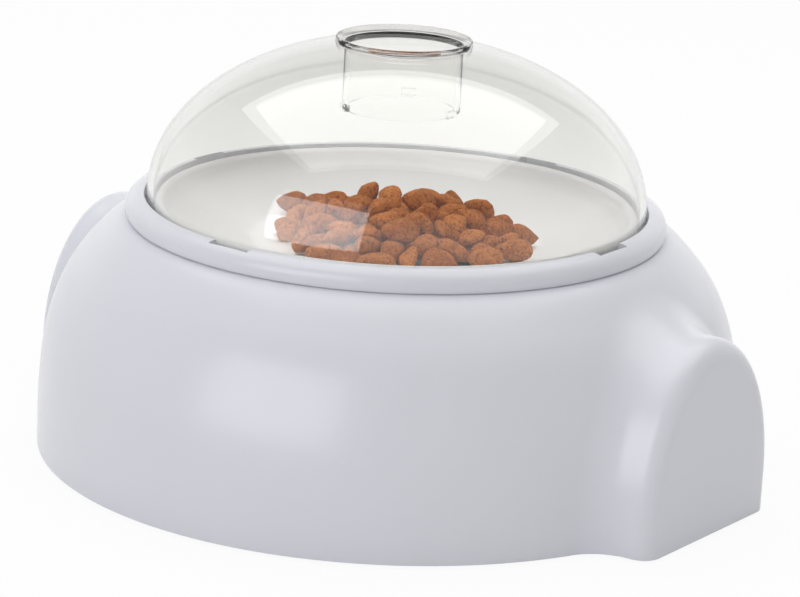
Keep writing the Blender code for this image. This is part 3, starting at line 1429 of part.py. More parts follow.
def make_cell_contacts():
    """Sprung plates that join the cells in series: pairs on one side, pairs and ends on the other."""
    inner = CELL_LENGTH / 2 + CONTACT_ROOM - GAP
    groups = ((1, 0, 1), (1, 2, 3), (-1, 0, 0), (-1, 1, 2), (-1, 3, 3))
    for number, (side, first, last) in enumerate(groups, 1):
        y = sorted((side * (inner - CONTACT_THICKNESS), side * inner))
        half = CONTACT_WIDTH / 2
        low = (cell_x(first) - half, y[0], CELL_Z - half)
        high = (cell_x(last) + half, y[1], CELL_Z + half)
        contact = block(f"cell_contact_{number}", low, high, STEEL)
        for index in range(first, last + 1):
            bump = rod(
                f"contact_bump_{number}_{index}",
                CONTACT_BUMP_RADIUS,
                (cell_x(index), side * (inner - CONTACT_THICKNESS / 2), CELL_Z),
                (cell_x(index), side * (CELL_LENGTH / 2 + GAP), CELL_Z),
                steps=TINY_STEPS,
                end_radius=CONTACT_BUMP_RADIUS / 2,
            )
            join(contact, bump)


def make_battery_door():
    low, high = cell_box_inside()
    door = block(
        "battery_door",
        (low[0] - DOOR_OVERLAP, low[1] - DOOR_OVERLAP, DOOR_LOW_Z),
        (high[0] + DOOR_OVERLAP, high[1] + DOOR_OVERLAP, DOOR_HIGH_Z),
        GREY_PLASTIC,
    )
    half = DOOR_RIB_LENGTH / 2
    for number in range(3):
        x = low[0] + DOOR_OVERLAP + DOOR_RIB_PITCH * (number + 1)
        rib = block(
            f"door_rib_{number + 1}",
            (x, -half, DOOR_LOW_Z - DOOR_RIB),
            (x + DOOR_RIB_WIDTH, half, DOOR_LOW_Z + DOOR_THICKNESS / 2),
        )
        join(door, rib)
    return door


# Controls

def make_control_bezel():
    """A piece of the skirt's own curve, with posts behind it that reach the circuit board."""
    outer = [(skirt_radius(z), z) for z in bezel_heights()]
    inner = [(radius - BEZEL_THICKNESS, z) for radius, z in reversed(outer)]
    bezel = turned("control_bezel", [*outer, *inner], GREY_PLASTIC)
    low = (-BEZEL_HALF_WIDTH, 0, BEZEL_LOW_Z)
    high = (BEZEL_HALF_WIDTH, BODY_BASE_RADIUS + OVERRUN, BEZEL_HIGH_Z)
    combine(bezel, block("bezel_window", low, high), "INTERSECT")
    post_z = (BEZEL_LOW_Z + BEZEL_POST_INSET, BEZEL_HIGH_Z - BEZEL_POST_INSET)
    for number, (x, z) in enumerate([(x, z) for x in (-BEZEL_POST_X, BEZEL_POST_X) for z in post_z], 1):
        end = math.sqrt(skirt_radius(z, BEZEL_THICKNESS / 2) ** 2 - x**2)
        post = rod(
            f"bezel_post_{number}", BEZEL_POST_RADIUS, (x, BOARD_FRONT_Y + GAP, z), (x, end, z), steps=TINY_STEPS
        )
        join(bezel, post)
    past = BODY_BASE_RADIUS + OVERRUN
    start = BOARD_FRONT_Y + GAP
    button_hole = rod(
        "button_hole", BUTTON_RADIUS + GAP, (BUTTON_X, start, CONTROL_Z), (BUTTON_X, past, CONTROL_Z)
    )
    lens_hole = rod(
        "lens_hole", LENS_RADIUS + GAP, (LENS_X, start, CONTROL_Z), (LENS_X, past, CONTROL_Z), steps=TINY_STEPS
    )
    half_slot = (SWITCH_KNOB_LENGTH + SWITCH_TRAVEL) / 2 + GAP
    half_height = SWITCH_KNOB_HEIGHT / 2 + GAP
    slot = block(
        "switch_slot",
        (SWITCH_X - half_slot, start, CONTROL_Z - half_height),
        (SWITCH_X + half_slot, past, CONTROL_Z + half_height),
    )
    return cut(bezel, button_hole, lens_hole, slot)


def bezel_heights(steps=6):
    """Heights down the skirt that run past the bezel at both ends."""
    low, high = BEZEL_LOW_Z - OVERRUN, BEZEL_HIGH_Z + OVERRUN
    return [high + (low - high) * step / steps for step in range(steps + 1)]


def make_feed_button():
    """A round cap, a flange that keeps it in the bezel, and a stem over the tact switch."""
    surface = skirt_radius(CONTROL_Z)
    face = surface + BUTTON_STAND_OUT
    back_edge = math.sqrt(skirt_radius(BEZEL_HIGH_Z, BEZEL_THICKNESS) ** 2 - (BUTTON_X - BUTTON_FLANGE_RADIUS) ** 2)
    flange_front = back_edge + GAP
    flange_back = flange_front - BUTTON_FLANGE
    stem = BOARD_FRONT_Y + GAP + TACT_HEIGHT + GAP + BUTTON_TRAVEL
    profile = [
        (0, face),
        (BUTTON_RADIUS - 2 * GAP, face),
        (BUTTON_RADIUS, face - 2 * GAP),
        (BUTTON_RADIUS, flange_front),
        (BUTTON_FLANGE_RADIUS, flange_front),
        (BUTTON_FLANGE_RADIUS, flange_back),
        (BUTTON_STEM_RADIUS, flange_back),
        (BUTTON_STEM_RADIUS, stem),
        (0, stem),
    ]
    button = spindle("feed_button", profile, WHITE)
    button.rotation_euler.x = math.radians(-90)
    button.location = (BUTTON_X, 0, CONTROL_Z)
    return button


def make_tact_switch():
    half = TACT_WIDTH / 2
    start = BOARD_FRONT_Y + GAP
    return block(
        "tact_switch",
        (BUTTON_X - half, start, CONTROL_Z - half),
        (BUTTON_X + half, start + TACT_HEIGHT, CONTROL_Z + half),
        RUBBER,
    )


def switch_plate_front():
    """Y of the switch plate's front, behind the bezel where that curves in most."""
    reach = SWITCH_X + SWITCH_TRAVEL / 2 + SWITCH_KNOB_LENGTH / 2 + SWITCH_PLATE_MARGIN
    return math.sqrt(skirt_radius(CONTROL_Z, BEZEL_THICKNESS) ** 2 - reach**2) - SWITCH_PLATE_GAP


def make_power_switch():
    """A sliding knob on a plate that rides behind the bezel's slot. At rest it is off."""
    x = SWITCH_X + SWITCH_TRAVEL / 2
    half, half_height = SWITCH_KNOB_LENGTH / 2, SWITCH_KNOB_HEIGHT / 2
    front = switch_plate_front()
    face = math.sqrt(skirt_radius(CONTROL_Z) ** 2 - x**2) + SWITCH_STAND_OUT
    margin = SWITCH_PLATE_MARGIN
    slider = block(
        "power_switch",
        (x - half - margin, front - SWITCH_PLATE, CONTROL_Z - half_height - margin),
        (x + half + margin, front, CONTROL_Z + half_height + margin),
        RUBBER,
    )
    knob = block(
        "switch_knob",
        (x - half, front - SWITCH_PLATE / 2, CONTROL_Z - half_height),
        (x + half, face, CONTROL_Z + half_height),
    )
    return join(slider, knob)


def make_switch_block():
    half = SWITCH_BLOCK_LENGTH / 2
    half_height = SWITCH_KNOB_HEIGHT / 2
    return block(
        "switch_block",
        (SWITCH_X - half, BOARD_FRONT_Y + GAP, CONTROL_Z - half_height),
        (SWITCH_X + half, switch_plate_front() - SWITCH_PLATE - GAP, CONTROL_Z + half_height),
        STEEL,
    )


def make_status_lens():
    face = skirt_radius(CONTROL_Z)
    start = BOARD_FRONT_Y + GAP
    return rod(
        "status_lens", LENS_RADIUS, (LENS_X, start, CONTROL_Z), (LENS_X, face, CONTROL_Z), CLEAR, TINY_STEPS
    )


def make_circuit_board():
    low = (-BOARD_HALF_WIDTH, BOARD_Y, BOARD_LOW_Z)
    return block("circuit_board", low, (BOARD_HALF_WIDTH, BOARD_FRONT_Y, BOARD_HIGH_Z), BOARD_GREEN)


def smooth_route(points, spacing):
    """Points on a Catmull-Rom curve through a route, about a spacing apart."""
    route = [Vector(point) for point in points]
    route = [2 * route[0] - route[1], *route, 2 * route[-1] - route[-2]]
    found = []
    for before, start, end, after in zip(route, route[1:], route[2:], route[3:]):
        steps = max(1, round((end - start).length / spacing))
        for step in range(steps):
            share = step / steps
            found.append(
                0.5
                * (
                    2 * start
                    + (end - before) * share
                    + (2 * before - 5 * start + 4 * end - after) * share**2
                    + (3 * start - before - 3 * end + after) * share**3
                )
            )
    return [*found, route[-2]]


def make_lead(name, route):
    curve = bpy.data.curves.new(name, "CURVE")
    curve.dimensions = "3D"
    curve.bevel_depth = LEAD_RADIUS
    curve.bevel_resolution = 2
    curve.use_fill_caps = True
    points = smooth_route(route, LEAD_POINT_SPACING)
    spline = curve.splines.new("POLY")
    spline.points.add(len(points) - 1)
    for knot, point in zip(spline.points, points):
        knot.co = (*point, 1)
    lead = bpy.data.objects.new(name, curve)
    curve.materials.append(WIRE_SKIN)
    PARTS.objects.link(lead)
    return lead


# Moving pieces hang from empties on their joints' axes

def add_pivot(name, place, pieces):
    pivot = bpy.data.objects.new(name, None)
    pivot.empty_display_size = SHAFT_RADIUS
    pivot.location = place
    PARTS.objects.link(pivot)
    bpy.context.view_layer.update()
    for piece in pieces:
        piece.parent = pivot
        piece.matrix_parent_inverse = pivot.matrix_world.inverted()
    return pivot


def build():
    make_body_shell()
    make_rim_collar()
    dome, gasket, tube = make_dome_lid(), make_dome_gasket(), make_fill_tube()
    add_pivot("dome_pivot", (0, 0, DOME_LOW_Z), [dome, gasket, tube])
    make_hopper_tray()
    make_kibble_heap()
    rotor = [make_agitator(), make_rotor_shaft(), make_meter_rotor(), make_drive_gear(), make_retaining_ring()]
    add_pivot("rotor_pivot", (0, 0, SHAFT_BOTTOM_Z), rotor)
    make_meter_housing()
    make_bush("upper_bush", UPPER_BUSH_Z)
    make_bush("lower_bush", LOWER_BUSH_Z)
    make_gear_frame()
    make_gear_motor()
    make_motor_screws()
    pinion = [make_motor_pinion(), make_motor_shaft()]
    add_pivot("pinion_pivot", (GEAR_CENTRES, 0, MOTOR_TOP_Z), pinion)
    make_alcove_liner()
    make_outlet_chute()
    add_pivot("flap_pivot", (FLAP_PIN_X, 0, FLAP_PIN_Z), [make_outlet_flap()])
    make_flap_pin()
    make_feed_dish()
    make_base_plate()
    make_feet()
    make_base_screws()
    make_battery_box()
    make_cells()
    make_cell_contacts()
    make_battery_door()
    make_control_bezel()
    make_feed_button()
    make_tact_switch()
    make_power_switch()
    make_switch_block()
    make_status_lens()
    make_circuit_board()
    make_lead("motor_lead", MOTOR_LEAD_ROUTE)
    make_lead("battery_lead", BATTERY_LEAD_ROUTE)


build()
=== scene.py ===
# %% [markdown]
# # An automatic pet food dispenser
#
# The real object is a white moulded body with two arched lobes, one closed over the batteries and
# one open round the feeding dish. A clear dome turns into a rolled collar on top of it, and a
# clear tube in the dome's crown takes the food that lies on a shallow tray inside.
#
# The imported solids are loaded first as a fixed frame. Each part that shows is then either made
# again with finer curves, in the same place, or keeps its solid and gets a better finish.

# %% Load the frame
import json
import math

import bmesh
import bpy
import numpy as np
from mathutils import Matrix, Vector, noise

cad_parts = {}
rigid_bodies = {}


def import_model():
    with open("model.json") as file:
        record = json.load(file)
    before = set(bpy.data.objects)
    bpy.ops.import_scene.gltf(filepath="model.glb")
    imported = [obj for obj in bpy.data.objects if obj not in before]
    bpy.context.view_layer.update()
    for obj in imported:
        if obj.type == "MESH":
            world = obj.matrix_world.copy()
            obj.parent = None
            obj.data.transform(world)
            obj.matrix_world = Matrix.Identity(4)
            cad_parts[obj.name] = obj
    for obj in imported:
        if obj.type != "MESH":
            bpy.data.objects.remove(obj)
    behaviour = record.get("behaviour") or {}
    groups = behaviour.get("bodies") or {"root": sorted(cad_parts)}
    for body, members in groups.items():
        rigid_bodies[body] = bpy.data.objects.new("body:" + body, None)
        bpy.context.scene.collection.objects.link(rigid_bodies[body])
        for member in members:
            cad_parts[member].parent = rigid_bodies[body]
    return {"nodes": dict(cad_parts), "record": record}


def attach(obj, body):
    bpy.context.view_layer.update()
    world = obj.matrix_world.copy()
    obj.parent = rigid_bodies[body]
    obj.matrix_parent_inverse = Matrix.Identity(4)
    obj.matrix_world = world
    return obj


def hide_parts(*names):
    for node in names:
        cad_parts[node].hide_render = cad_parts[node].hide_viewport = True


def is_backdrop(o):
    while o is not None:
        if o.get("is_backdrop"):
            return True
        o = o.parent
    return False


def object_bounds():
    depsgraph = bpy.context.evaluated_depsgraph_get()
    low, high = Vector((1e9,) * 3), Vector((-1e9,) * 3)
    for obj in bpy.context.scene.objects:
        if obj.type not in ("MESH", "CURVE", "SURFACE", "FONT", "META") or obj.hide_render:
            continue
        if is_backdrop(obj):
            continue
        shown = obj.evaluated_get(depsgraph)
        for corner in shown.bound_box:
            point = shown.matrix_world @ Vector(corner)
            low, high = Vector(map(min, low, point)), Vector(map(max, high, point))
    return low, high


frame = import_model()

SOLID_LOW, SOLID_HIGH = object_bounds()
MM = 0.001
nodes = frame["nodes"]

# %% [markdown]
# ## The camera
#
# The photograph was taken from a little over a metre away with a long lens, so the outlines hardly
# converge. The camera looks down by 16 degrees from the front right and is tipped by almost 3
# degrees. A long lens on a real distance keeps the ellipse of the collar as flat as it should be.

# %% Place the camera
PHOTO_WIDTH = 800
CAMERA_AZIMUTH = math.radians(36.6)
CAMERA_HEIGHT_ANGLE = math.radians(16.205)
CAMERA_ROLL = math.radians(2.755)
CAMERA_DISTANCE = 1.2844
CAMERA_TARGET = Vector((0.00255, 0.00189, 0.0620))
FOCAL_PIXELS = 3179
SENSOR = 36

camera = bpy.data.objects.new("camera", bpy.data.cameras.new("camera"))
bpy.context.scene.collection.objects.link(camera)
bpy.context.scene.camera = camera
toward_camera = Vector((
    math.sin(CAMERA_AZIMUTH) * math.cos(CAMERA_HEIGHT_ANGLE),
    -math.cos(CAMERA_AZIMUTH) * math.cos(CAMERA_HEIGHT_ANGLE),
    math.sin(CAMERA_HEIGHT_ANGLE),
))
camera.location = CAMERA_TARGET + toward_camera * CAMERA_DISTANCE
level = (-toward_camera).to_track_quat("-Z", "Y").to_matrix()
camera.rotation_euler = (level @ Matrix.Rotation(CAMERA_ROLL, 3, "Z")).to_euler()
camera.data.sensor_width = SENSOR
camera.data.lens = FOCAL_PIXELS * SENSOR / PHOTO_WIDTH
camera.data.clip_start = 0.01
camera.data.clip_end = 50
bpy.context.scene.view_settings.view_transform = "Standard"
print("lens", round(camera.data.lens, 1), "mm")

# %% [markdown]
# ## Writing finishes as expressions
#
# A shader is a graph of small nodes, and long graphs are hard to read as lists of links. One class
# wraps a socket, so that `1 - mask` or `noise * 0.2` adds the Math node it needs, and its `make`
# method adds any other node.

# %% Shader maths
class Shade:
    """A socket in a material. Sums on it add Math nodes to the same material."""

    def __init__(self, tree, socket=None):
        self.tree = tree
        self.socket = socket

    def make(self, kind, settings=None, values=None, output=0):
        """Adds a node: first its settings, then a number, colour or link for each socket."""
        node = self.tree.nodes.new(kind)
        for key, setting in (settings or {}).items():
            setattr(node, key, setting)
        for key, value in (values or {}).items():
            if isinstance(value, Shade):
                self.tree.links.new(value.socket, node.inputs[key])
            else:
                node.inputs[key].default_value = value
        return Shade(self.tree, node.outputs[output])

    def maths(self, operation, first, second):
        return self.make("ShaderNodeMath", {"operation": operation}, {0: first, 1: second})

    def __add__(self, other):
        return self.maths("ADD", self, other)

    def __radd__(self, other):
        return self.maths("ADD", other, self)

    def __sub__(self, other):
        return self.maths("SUBTRACT", self, other)

    def __rsub__(self, other):
        return self.maths("SUBTRACT", other, self)

    def __mul__(self, other):
        return self.maths("MULTIPLY", self, other)

    def clamp(self):
        return self.make("ShaderNodeClamp", None, {"Value": self})

    def mix(self, first, second):
        """This value as the mask between two colours."""
        settings = {"data_type": "RGBA"}
        values = {"Factor": self, 6: colour4(first), 7: colour4(second)}
        return self.make("ShaderNodeMix", settings, values, output=2)


def colour4(colour):
    return colour if isinstance(colour, Shade) else (*colour, 1)


def new_finish(name, colour, roughness, **constants):
    """A material with one Principled shader, and a Shade to build on it."""
    made = bpy.data.materials.new(name)
    made.use_nodes = True
    tree = made.node_tree
    shader = tree.nodes["Principled BSDF"]
    shader.inputs["Base Color"].default_value = (*colour, 1)
    shader.inputs["Roughness"].default_value = roughness
    for socket, value in constants.items():
        shader.inputs[socket.replace("_", " ")].default_value = value
    return made, shader, Shade(tree)


def link(shader, socket, value):
    value.tree.links.new(value.socket, shader.inputs[socket])


def grain(shade, size, detail=3.0, roughness=0.55, stretch=(1, 1, 1)):
    """Noise on Object coordinates whose lumps are about a size across, in metres."""
    place = shade.make("ShaderNodeTexCoord", output="Object")
    place = shade.make("ShaderNodeMapping", None, {"Vector": place, "Scale": stretch})
    values = {"Vector": place, "Scale": 1 / size, "Detail": detail, "Roughness": roughness}
    return shade.make("ShaderNodeTexNoise", None, values)


def bump(shade, height, depth):
    """A bump of a height map, with its real depth in metres."""
    values = {"Height": height, "Distance": depth}
    return shade.make("ShaderNodeBump", None, values, output="Normal")


print("shader maths ready")

# %% [markdown]
# ## The finishes
#
# The body is glossy white plastic from a polished mould. Such a surface is never quite flat: a
# very shallow waviness and a slow change in gloss tell it from paint. The tray and dish come from
# a satin mould. The hidden parts are plain grey plastic, turned brass, drawn steel and rubber.

# %% Moulded plastics
SLOW_SIZE = 0.045
FINE_SIZE = 0.0012
SLIGHTLY_DARKER = 0.965


def moulded(name, colour, roughness, gloss_change, wave, fleck, **constants):
    """A moulded plastic: slow changes in gloss, a long shallow wave and a fine skin."""
    made, shader, shade = new_finish(name, colour, roughness, **constants)
    slow = grain(shade, SLOW_SIZE, detail=2.0)
    fine = grain(shade, FINE_SIZE, detail=2.0)
    link(shader, "Roughness", roughness + (slow - 0.5) * gloss_change)
    darker = tuple(channel * SLIGHTLY_DARKER for channel in colour)
    link(shader, "Base Color", slow.mix(colour, darker))
    height = slow * (wave / fleck) + fine
    link(shader, "Normal", bump(shade, height, fleck))
    return made


WHITE_GLOSS = moulded("white_gloss", (0.785, 0.790, 0.845), 0.22, 0.08, 0.00006, 0.000004, IOR=1.5)
TRAY_WHITE = moulded("tray_white", (0.82, 0.82, 0.825), 0.42, 0.12, 0.00004, 0.000010)
BUTTON_WHITE = moulded("button_white", (0.80, 0.80, 0.81), 0.35, 0.10, 0.00003, 0.000008)
GREY_PLASTIC = moulded("grey_plastic", (0.30, 0.31, 0.33), 0.50, 0.15, 0.00004, 0.000030)
ACETAL = moulded("acetal", (0.72, 0.70, 0.64), 0.45, 0.12, 0.00003, 0.000015)
SILICONE = moulded("silicone", (0.60, 0.61, 0.62), 0.60, 0.12, 0.00002, 0.000020)
RUBBER = moulded("black_rubber", (0.035, 0.035, 0.038), 0.72, 0.15, 0.00003, 0.000040)
WIRE_RED = moulded("wire_red", (0.42, 0.03, 0.025), 0.45, 0.10, 0.00002, 0.000010)
print("plastics ready")


# %% Metals
METAL_DULL = 0.86


def turned_metal(name, colour, roughness, line):
    """A metal with fine lines round the upright axis, as a lathe or a brush leaves them."""
    made, shader, shade = new_finish(name, colour, roughness, Metallic=1.0)
    lines = grain(shade, line, detail=2.0, stretch=(0.15, 0.15, 1))
    slow = grain(shade, 0.02, detail=2.0)
    link(shader, "Roughness", roughness + (lines - 0.5) * 0.18 + (slow - 0.5) * 0.1)
    dull = tuple(channel * METAL_DULL for channel in colour)
    link(shader, "Base Color", slow.mix(colour, dull))
    link(shader, "Normal", bump(shade, lines, 0.00001))
    return made


STEEL = turned_metal("steel", (0.60, 0.60, 0.61), 0.30, 0.0006)
BRASS = turned_metal("brass", (0.66, 0.50, 0.24), 0.32, 0.0005)
print("metals ready")


# %% Circuit board and cell wrap
TRACKS_PER_METRE = 420.0
TRACK_EDGE = 0.42


def board_finish():
    """Solder mask with faint tracks under it."""
    made, shader, shade = new_finish("board_green", (0.02, 0.16, 0.08), 0.4)
    place = shade.make("ShaderNodeTexCoord", output="Object")
    values = {"Vector": place, "Scale": TRACKS_PER_METRE}
    cells = shade.make("ShaderNodeTexVoronoi", {"distance": "MANHATTAN"}, values)
    tracks = shade.maths("GREATER_THAN", cells, TRACK_EDGE)
    link(shader, "Base Color", tracks.mix((0.015, 0.13, 0.06), (0.03, 0.22, 0.11)))
    link(shader, "Normal", bump(shade, tracks, 0.00003))
    return made


BOARD_GREEN = board_finish()
CELL_WRAP = moulded("cell_wrap", (0.06, 0.065, 0.08), 0.3, 0.1, 0.00002, 0.000005)
print("board and cells ready")

# %% [markdown]
# ## Clear plastic
#
# The dome is clear styrene with a faint warm grey tint. A refracting shader bends what is behind
# the wall and darkens its edges, as in the photograph. Its shadow would be black, because light
# rays don't find a lamp through a bent surface, so shadow rays pass through a transparent shader
# instead. The fill tube is thin and hardly bends what is behind it, so its walls get a very low
# index of refraction. Its lip is a little greyer and less polished.

# %% Clear plastic
SHADOW_TINT = (0.985, 0.985, 0.98, 1)
STYRENE_INDEX = 1.55
GLOSS_CHANGE = 0.4


def clear_finish(name, tint, roughness, index=STYRENE_INDEX):
    """A tinted wall that refracts, and lets almost all of the lamps' light through."""
    made, shader, shade = new_finish(name, tint, roughness, IOR=index, Transmission_Weight=1.0)
    tree = shade.tree
    slow = grain(shade, 0.05, detail=1.0)
    link(shader, "Roughness", roughness + (slow - 0.5) * (roughness * GLOSS_CHANGE))
    passing = shade.make("ShaderNodeBsdfTransparent", None, {"Color": SHADOW_TINT})
    shadow = shade.make("ShaderNodeLightPath", output="Is Shadow Ray")
    solid = Shade(tree, shader.outputs["BSDF"])
    mixed = shade.make("ShaderNodeMixShader", None, {0: shadow, 1: solid, 2: passing})
    output = tree.nodes["Material Output"]
    tree.links.new(mixed.socket, output.inputs["Surface"])
    return made


CLEAR = clear_finish("clear_plastic", (0.935, 0.935, 0.915), 0.015)
CLEAR_THIN = clear_finish("clear_thin", (0.985, 0.985, 0.975), 0.03, 1.10)
CLEAR_SATIN = clear_finish("clear_satin", (0.875, 0.865, 0.855), 0.12, 1.12)
print("clear plastics ready")

# %% [markdown]
# ## Making pieces
#
# Most of the object is turned: a profile is spun round the upright axis. The helper below spins a
# closed loop of points and cleans the seam. Another one wraps a finished bmesh as an object, gives
# it a finish, puts it on the body that carries it and hides the solid it stands for. Parts that
# touch have a small gap between them, and their corners are a little soft.

# %% Helpers for pieces
SHARP = 38
MERGE = 0.000002
GAP = 0.0003
SOFT = 0.0004
QUARTERS = [math.tau * number / 4 for number in range(4)]
DIAGONALS = [math.tau * (number + 0.5) / 4 for number in range(4)]


def piece(name, shape, finish, body, replaced=(), sharp=SHARP):
    """A finished piece: smooth faces, sharp edges over an angle, riding on a body."""
    mesh = bpy.data.meshes.new(name)
    shape.to_mesh(mesh)
    shape.free()
    mesh.materials.append(finish)
    mesh.shade_smooth()
    mesh.set_sharp_from_angle(angle=math.radians(sharp))
    made = bpy.data.objects.new(name, mesh)
    bpy.context.scene.collection.objects.link(made)
    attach(made, body)
    if replaced:
        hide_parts(*replaced)
    print(name, len(mesh.polygons), "faces")
    return made


def spun(profile, steps=192, closed=True):
    """A turned shape: the profile of (radius, z) points is spun round the upright axis."""
    shape = bmesh.new()
    points = [shape.verts.new((radius, 0, z)) for radius, z in profile]
    pairs = list(zip(points, points[1:]))
    if closed:
        pairs.append((points[-1], points[0]))
    edges = [shape.edges.new(pair) for pair in pairs]
    bmesh.ops.spin(
        shape, geom=points + edges, axis=(0, 0, 1), cent=(0, 0, 0),
        angle=math.tau, steps=steps, use_merge=True,
    )
    bmesh.ops.remove_doubles(shape, verts=shape.verts, dist=MERGE)
    bmesh.ops.recalc_face_normals(shape, faces=shape.faces)
    return shape


def arc(centre, radii, start, end, steps):
    """Points on an elliptic arc between two angles in degrees."""
    turns = [math.radians(start + (end - start) * step / steps) for step in range(steps + 1)]
    return [
        (centre[0] + radii[0] * math.cos(turn), centre[1] + radii[1] * math.sin(turn))
        for turn in turns
    ]


def bar(shape, low, high, turn=0.0, rounding=0.0):
    """Adds a box between two corners, turned round the upright axis, with soft edges."""
    low, high = Vector(low), Vector(high)
    made = bmesh.ops.create_cube(shape, size=1)["verts"]
    bmesh.ops.scale(shape, verts=made, vec=high - low)
    bmesh.ops.translate(shape, verts=made, vec=(low + high) / 2)
    if rounding:
        edges = list({edge for vert in made for edge in vert.link_edges})
        faces = bmesh.ops.bevel(
            shape, geom=edges, offset=rounding, segments=3,
            affect="EDGES", profile=0.5, material=-1,
        )["faces"]
        left = {vert for vert in made if vert.is_valid}
        made = list(left | {vert for face in faces for vert in face.verts})
    bmesh.ops.rotate(shape, verts=made, cent=(0, 0, 0), matrix=Matrix.Rotation(turn, 3, "Z"))


def carve(target, cutter_shape, operation="DIFFERENCE"):
    """Cuts or joins a bmesh into a piece at once, so no modifier is left on it."""
    mesh = bpy.data.meshes.new("cutter")
    cutter_shape.to_mesh(mesh)
    cutter_shape.free()
    cutter = bpy.data.objects.new("cutter", mesh)
    bpy.context.scene.collection.objects.link(cutter)
    step = target.modifiers.new("carve", "BOOLEAN")
    step.operation = operation
    step.solver = "EXACT"
    step.object = cutter
    apply_modifiers(target)
    bpy.data.objects.remove(cutter)
    bpy.data.meshes.remove(mesh)


def apply_modifiers(target, keep_shading=False):
    """Bakes a piece's modifiers into its mesh."""
    bpy.context.view_layer.update()
    graph = bpy.context.evaluated_depsgraph_get()
    mesh = bpy.data.meshes.new_from_object(target.evaluated_get(graph))
    old = target.data
    target.modifiers.clear()
    target.data = mesh
    bpy.data.meshes.remove(old)
    mesh.name = target.name
    if not keep_shading:
        mesh.shade_smooth()
        mesh.set_sharp_from_angle(angle=math.radians(SHARP))


print("helpers ready")

# %% [markdown]
# ## The body shell
#
# The body is a bell-shaped skirt that curls in to a flat shoulder, with two arches that grow out
# of it through soft fillets. A fillet between two curved forms is hard to bevel, so the shape is
# written as a distance field: the skirt and the lobes each have a distance, and a round union
# joins them. A rough union is remeshed into even quads, and each point is then moved onto the
# field.

# %% The body's distance field
SHOULDER_RADIUS = 0.10635
SKIRT_SPREAD = 0.0354
SKIRT_LOW = 0.0012
SKIRT_TOP = 0.0931
SKIRT_OUT_POWER = 1.4144
SKIRT_UP_POWER = 3.3333
SKIRT_WALL = 0.003
SHOULDER_LIFT = 0.00185
LIFT_END = 0.124
LIFT_SPAN = 0.013
LOBE_END = 0.156
LOBE_HALF_WIDTH = 0.0433
LOBE_SIDE = 0.0169
LOBE_APEX = 0.0777
LOBE_EDGE = 0.008
FILLET = 0.012
FIELD_STEP = 0.0002
LONGEST_MOVE = 0.002
TINY = 1e-9


def gradient(field, points):
    shifts = np.eye(3) * FIELD_STEP
    return np.stack([
        (field(points + shift) - field(points - shift)) / (2 * FIELD_STEP) for shift in shifts
    ], axis=1)


def scaled(field, points):
    """A field divided by its slope, which is close to a distance near its surface."""
    slope = gradient(field, points)
    return field(points) / np.maximum(np.linalg.norm(slope, axis=1), TINY)


def skirt_field(p):
    """Zero on the skirt. Its shoulder is lifted a little, so that it meets the collar's roll."""
    radius = np.hypot(p[:, 0], p[:, 1])
    share = np.clip((LIFT_END - radius) / LIFT_SPAN, 0, 1)
    lift = SHOULDER_LIFT * share * share * (3 - 2 * share)
    out = np.maximum((radius - SHOULDER_RADIUS) / SKIRT_SPREAD, 0)
    up = np.maximum((p[:, 2] - lift - SKIRT_LOW) / (SKIRT_TOP - SKIRT_LOW), 0)
    return out ** SKIRT_OUT_POWER + up ** SKIRT_UP_POWER - 1


def arch_field(p):
    """Zero on the arch of the lobes, which is half an ellipse on upright sides."""
    across = p[:, 1] / LOBE_HALF_WIDTH
    up = np.maximum((p[:, 2] - LOBE_SIDE) / (LOBE_APEX - LOBE_SIDE), 0)
    return np.hypot(across, up) - 1


def body_field(p):
    """Distance to the outer skin: the round union of the skirt and the rounded lobes."""
    skirt = scaled(skirt_field, p)
    side = scaled(arch_field, p) + LOBE_EDGE
    end = np.abs(p[:, 0]) - LOBE_END + LOBE_EDGE
    outside = np.hypot(np.maximum(side, 0), np.maximum(end, 0))
    lobe = outside + np.minimum(np.maximum(side, end), 0) - LOBE_EDGE
    gap = np.hypot(np.maximum(FILLET - skirt, 0), np.maximum(FILLET - lobe, 0))
    return np.maximum(FILLET, np.minimum(skirt, lobe)) - gap


def settle(points, field, rounds=6):
    """Moves points onto the surface where a field is zero."""
    for _ in range(rounds):
        slope = gradient(field, points)
        size = np.maximum(np.sum(slope ** 2, axis=1), TINY)
        step = (field(points) / size)[:, None] * slope
        length = np.linalg.norm(step, axis=1, keepdims=True)
        points = points - step * np.minimum(1, LONGEST_MOVE / np.maximum(length, TINY))
    return points


print("field at the lobe's end:", body_field(np.array([[LOBE_END, 0, 0.03]])))


# %% A rough body, evenly remeshed
CURVE_OUT_POWER = 1.414
CURVE_UP_POWER = 0.6
BELOW = -0.006
SKIRT_FOOT = SHOULDER_RADIUS + SKIRT_SPREAD
LOBE_START = 0.09
QUAD_SIZE = 0.0017


def skirt_curve(steps):
    """(radius, z) down the skirt from the shoulder to the foot."""
    turns = [math.radians(90 * (steps - step) / steps) for step in range(steps + 1)]
    return [
        (
            SHOULDER_RADIUS + SKIRT_SPREAD * max(math.cos(turn), 0) ** CURVE_OUT_POWER,
            SKIRT_LOW + (SKIRT_TOP - SKIRT_LOW) * math.sin(turn) ** CURVE_UP_POWER,
        )
        for turn in turns
    ]


def add_arch(shape, half_width, low, side, apex, start, end, steps=24):
    """Adds an arch in the YZ plane that is extruded along X."""
    crown = arc((0, side), (half_width, apex - side), 0, 180, steps)
    outline = [(half_width, low), *crown, (-half_width, low)]
    verts = [shape.verts.new((start, y, z)) for y, z in outline]
    face = shape.faces.new(verts)
    raised = bmesh.ops.extrude_face_region(shape, geom=[face])["geom"]
    far = [item for item in raised if isinstance(item, bmesh.types.BMVert)]
    bmesh.ops.translate(shape, verts=far, vec=(end - start, 0, 0))
    bmesh.ops.recalc_face_normals(shape, faces=shape.faces)


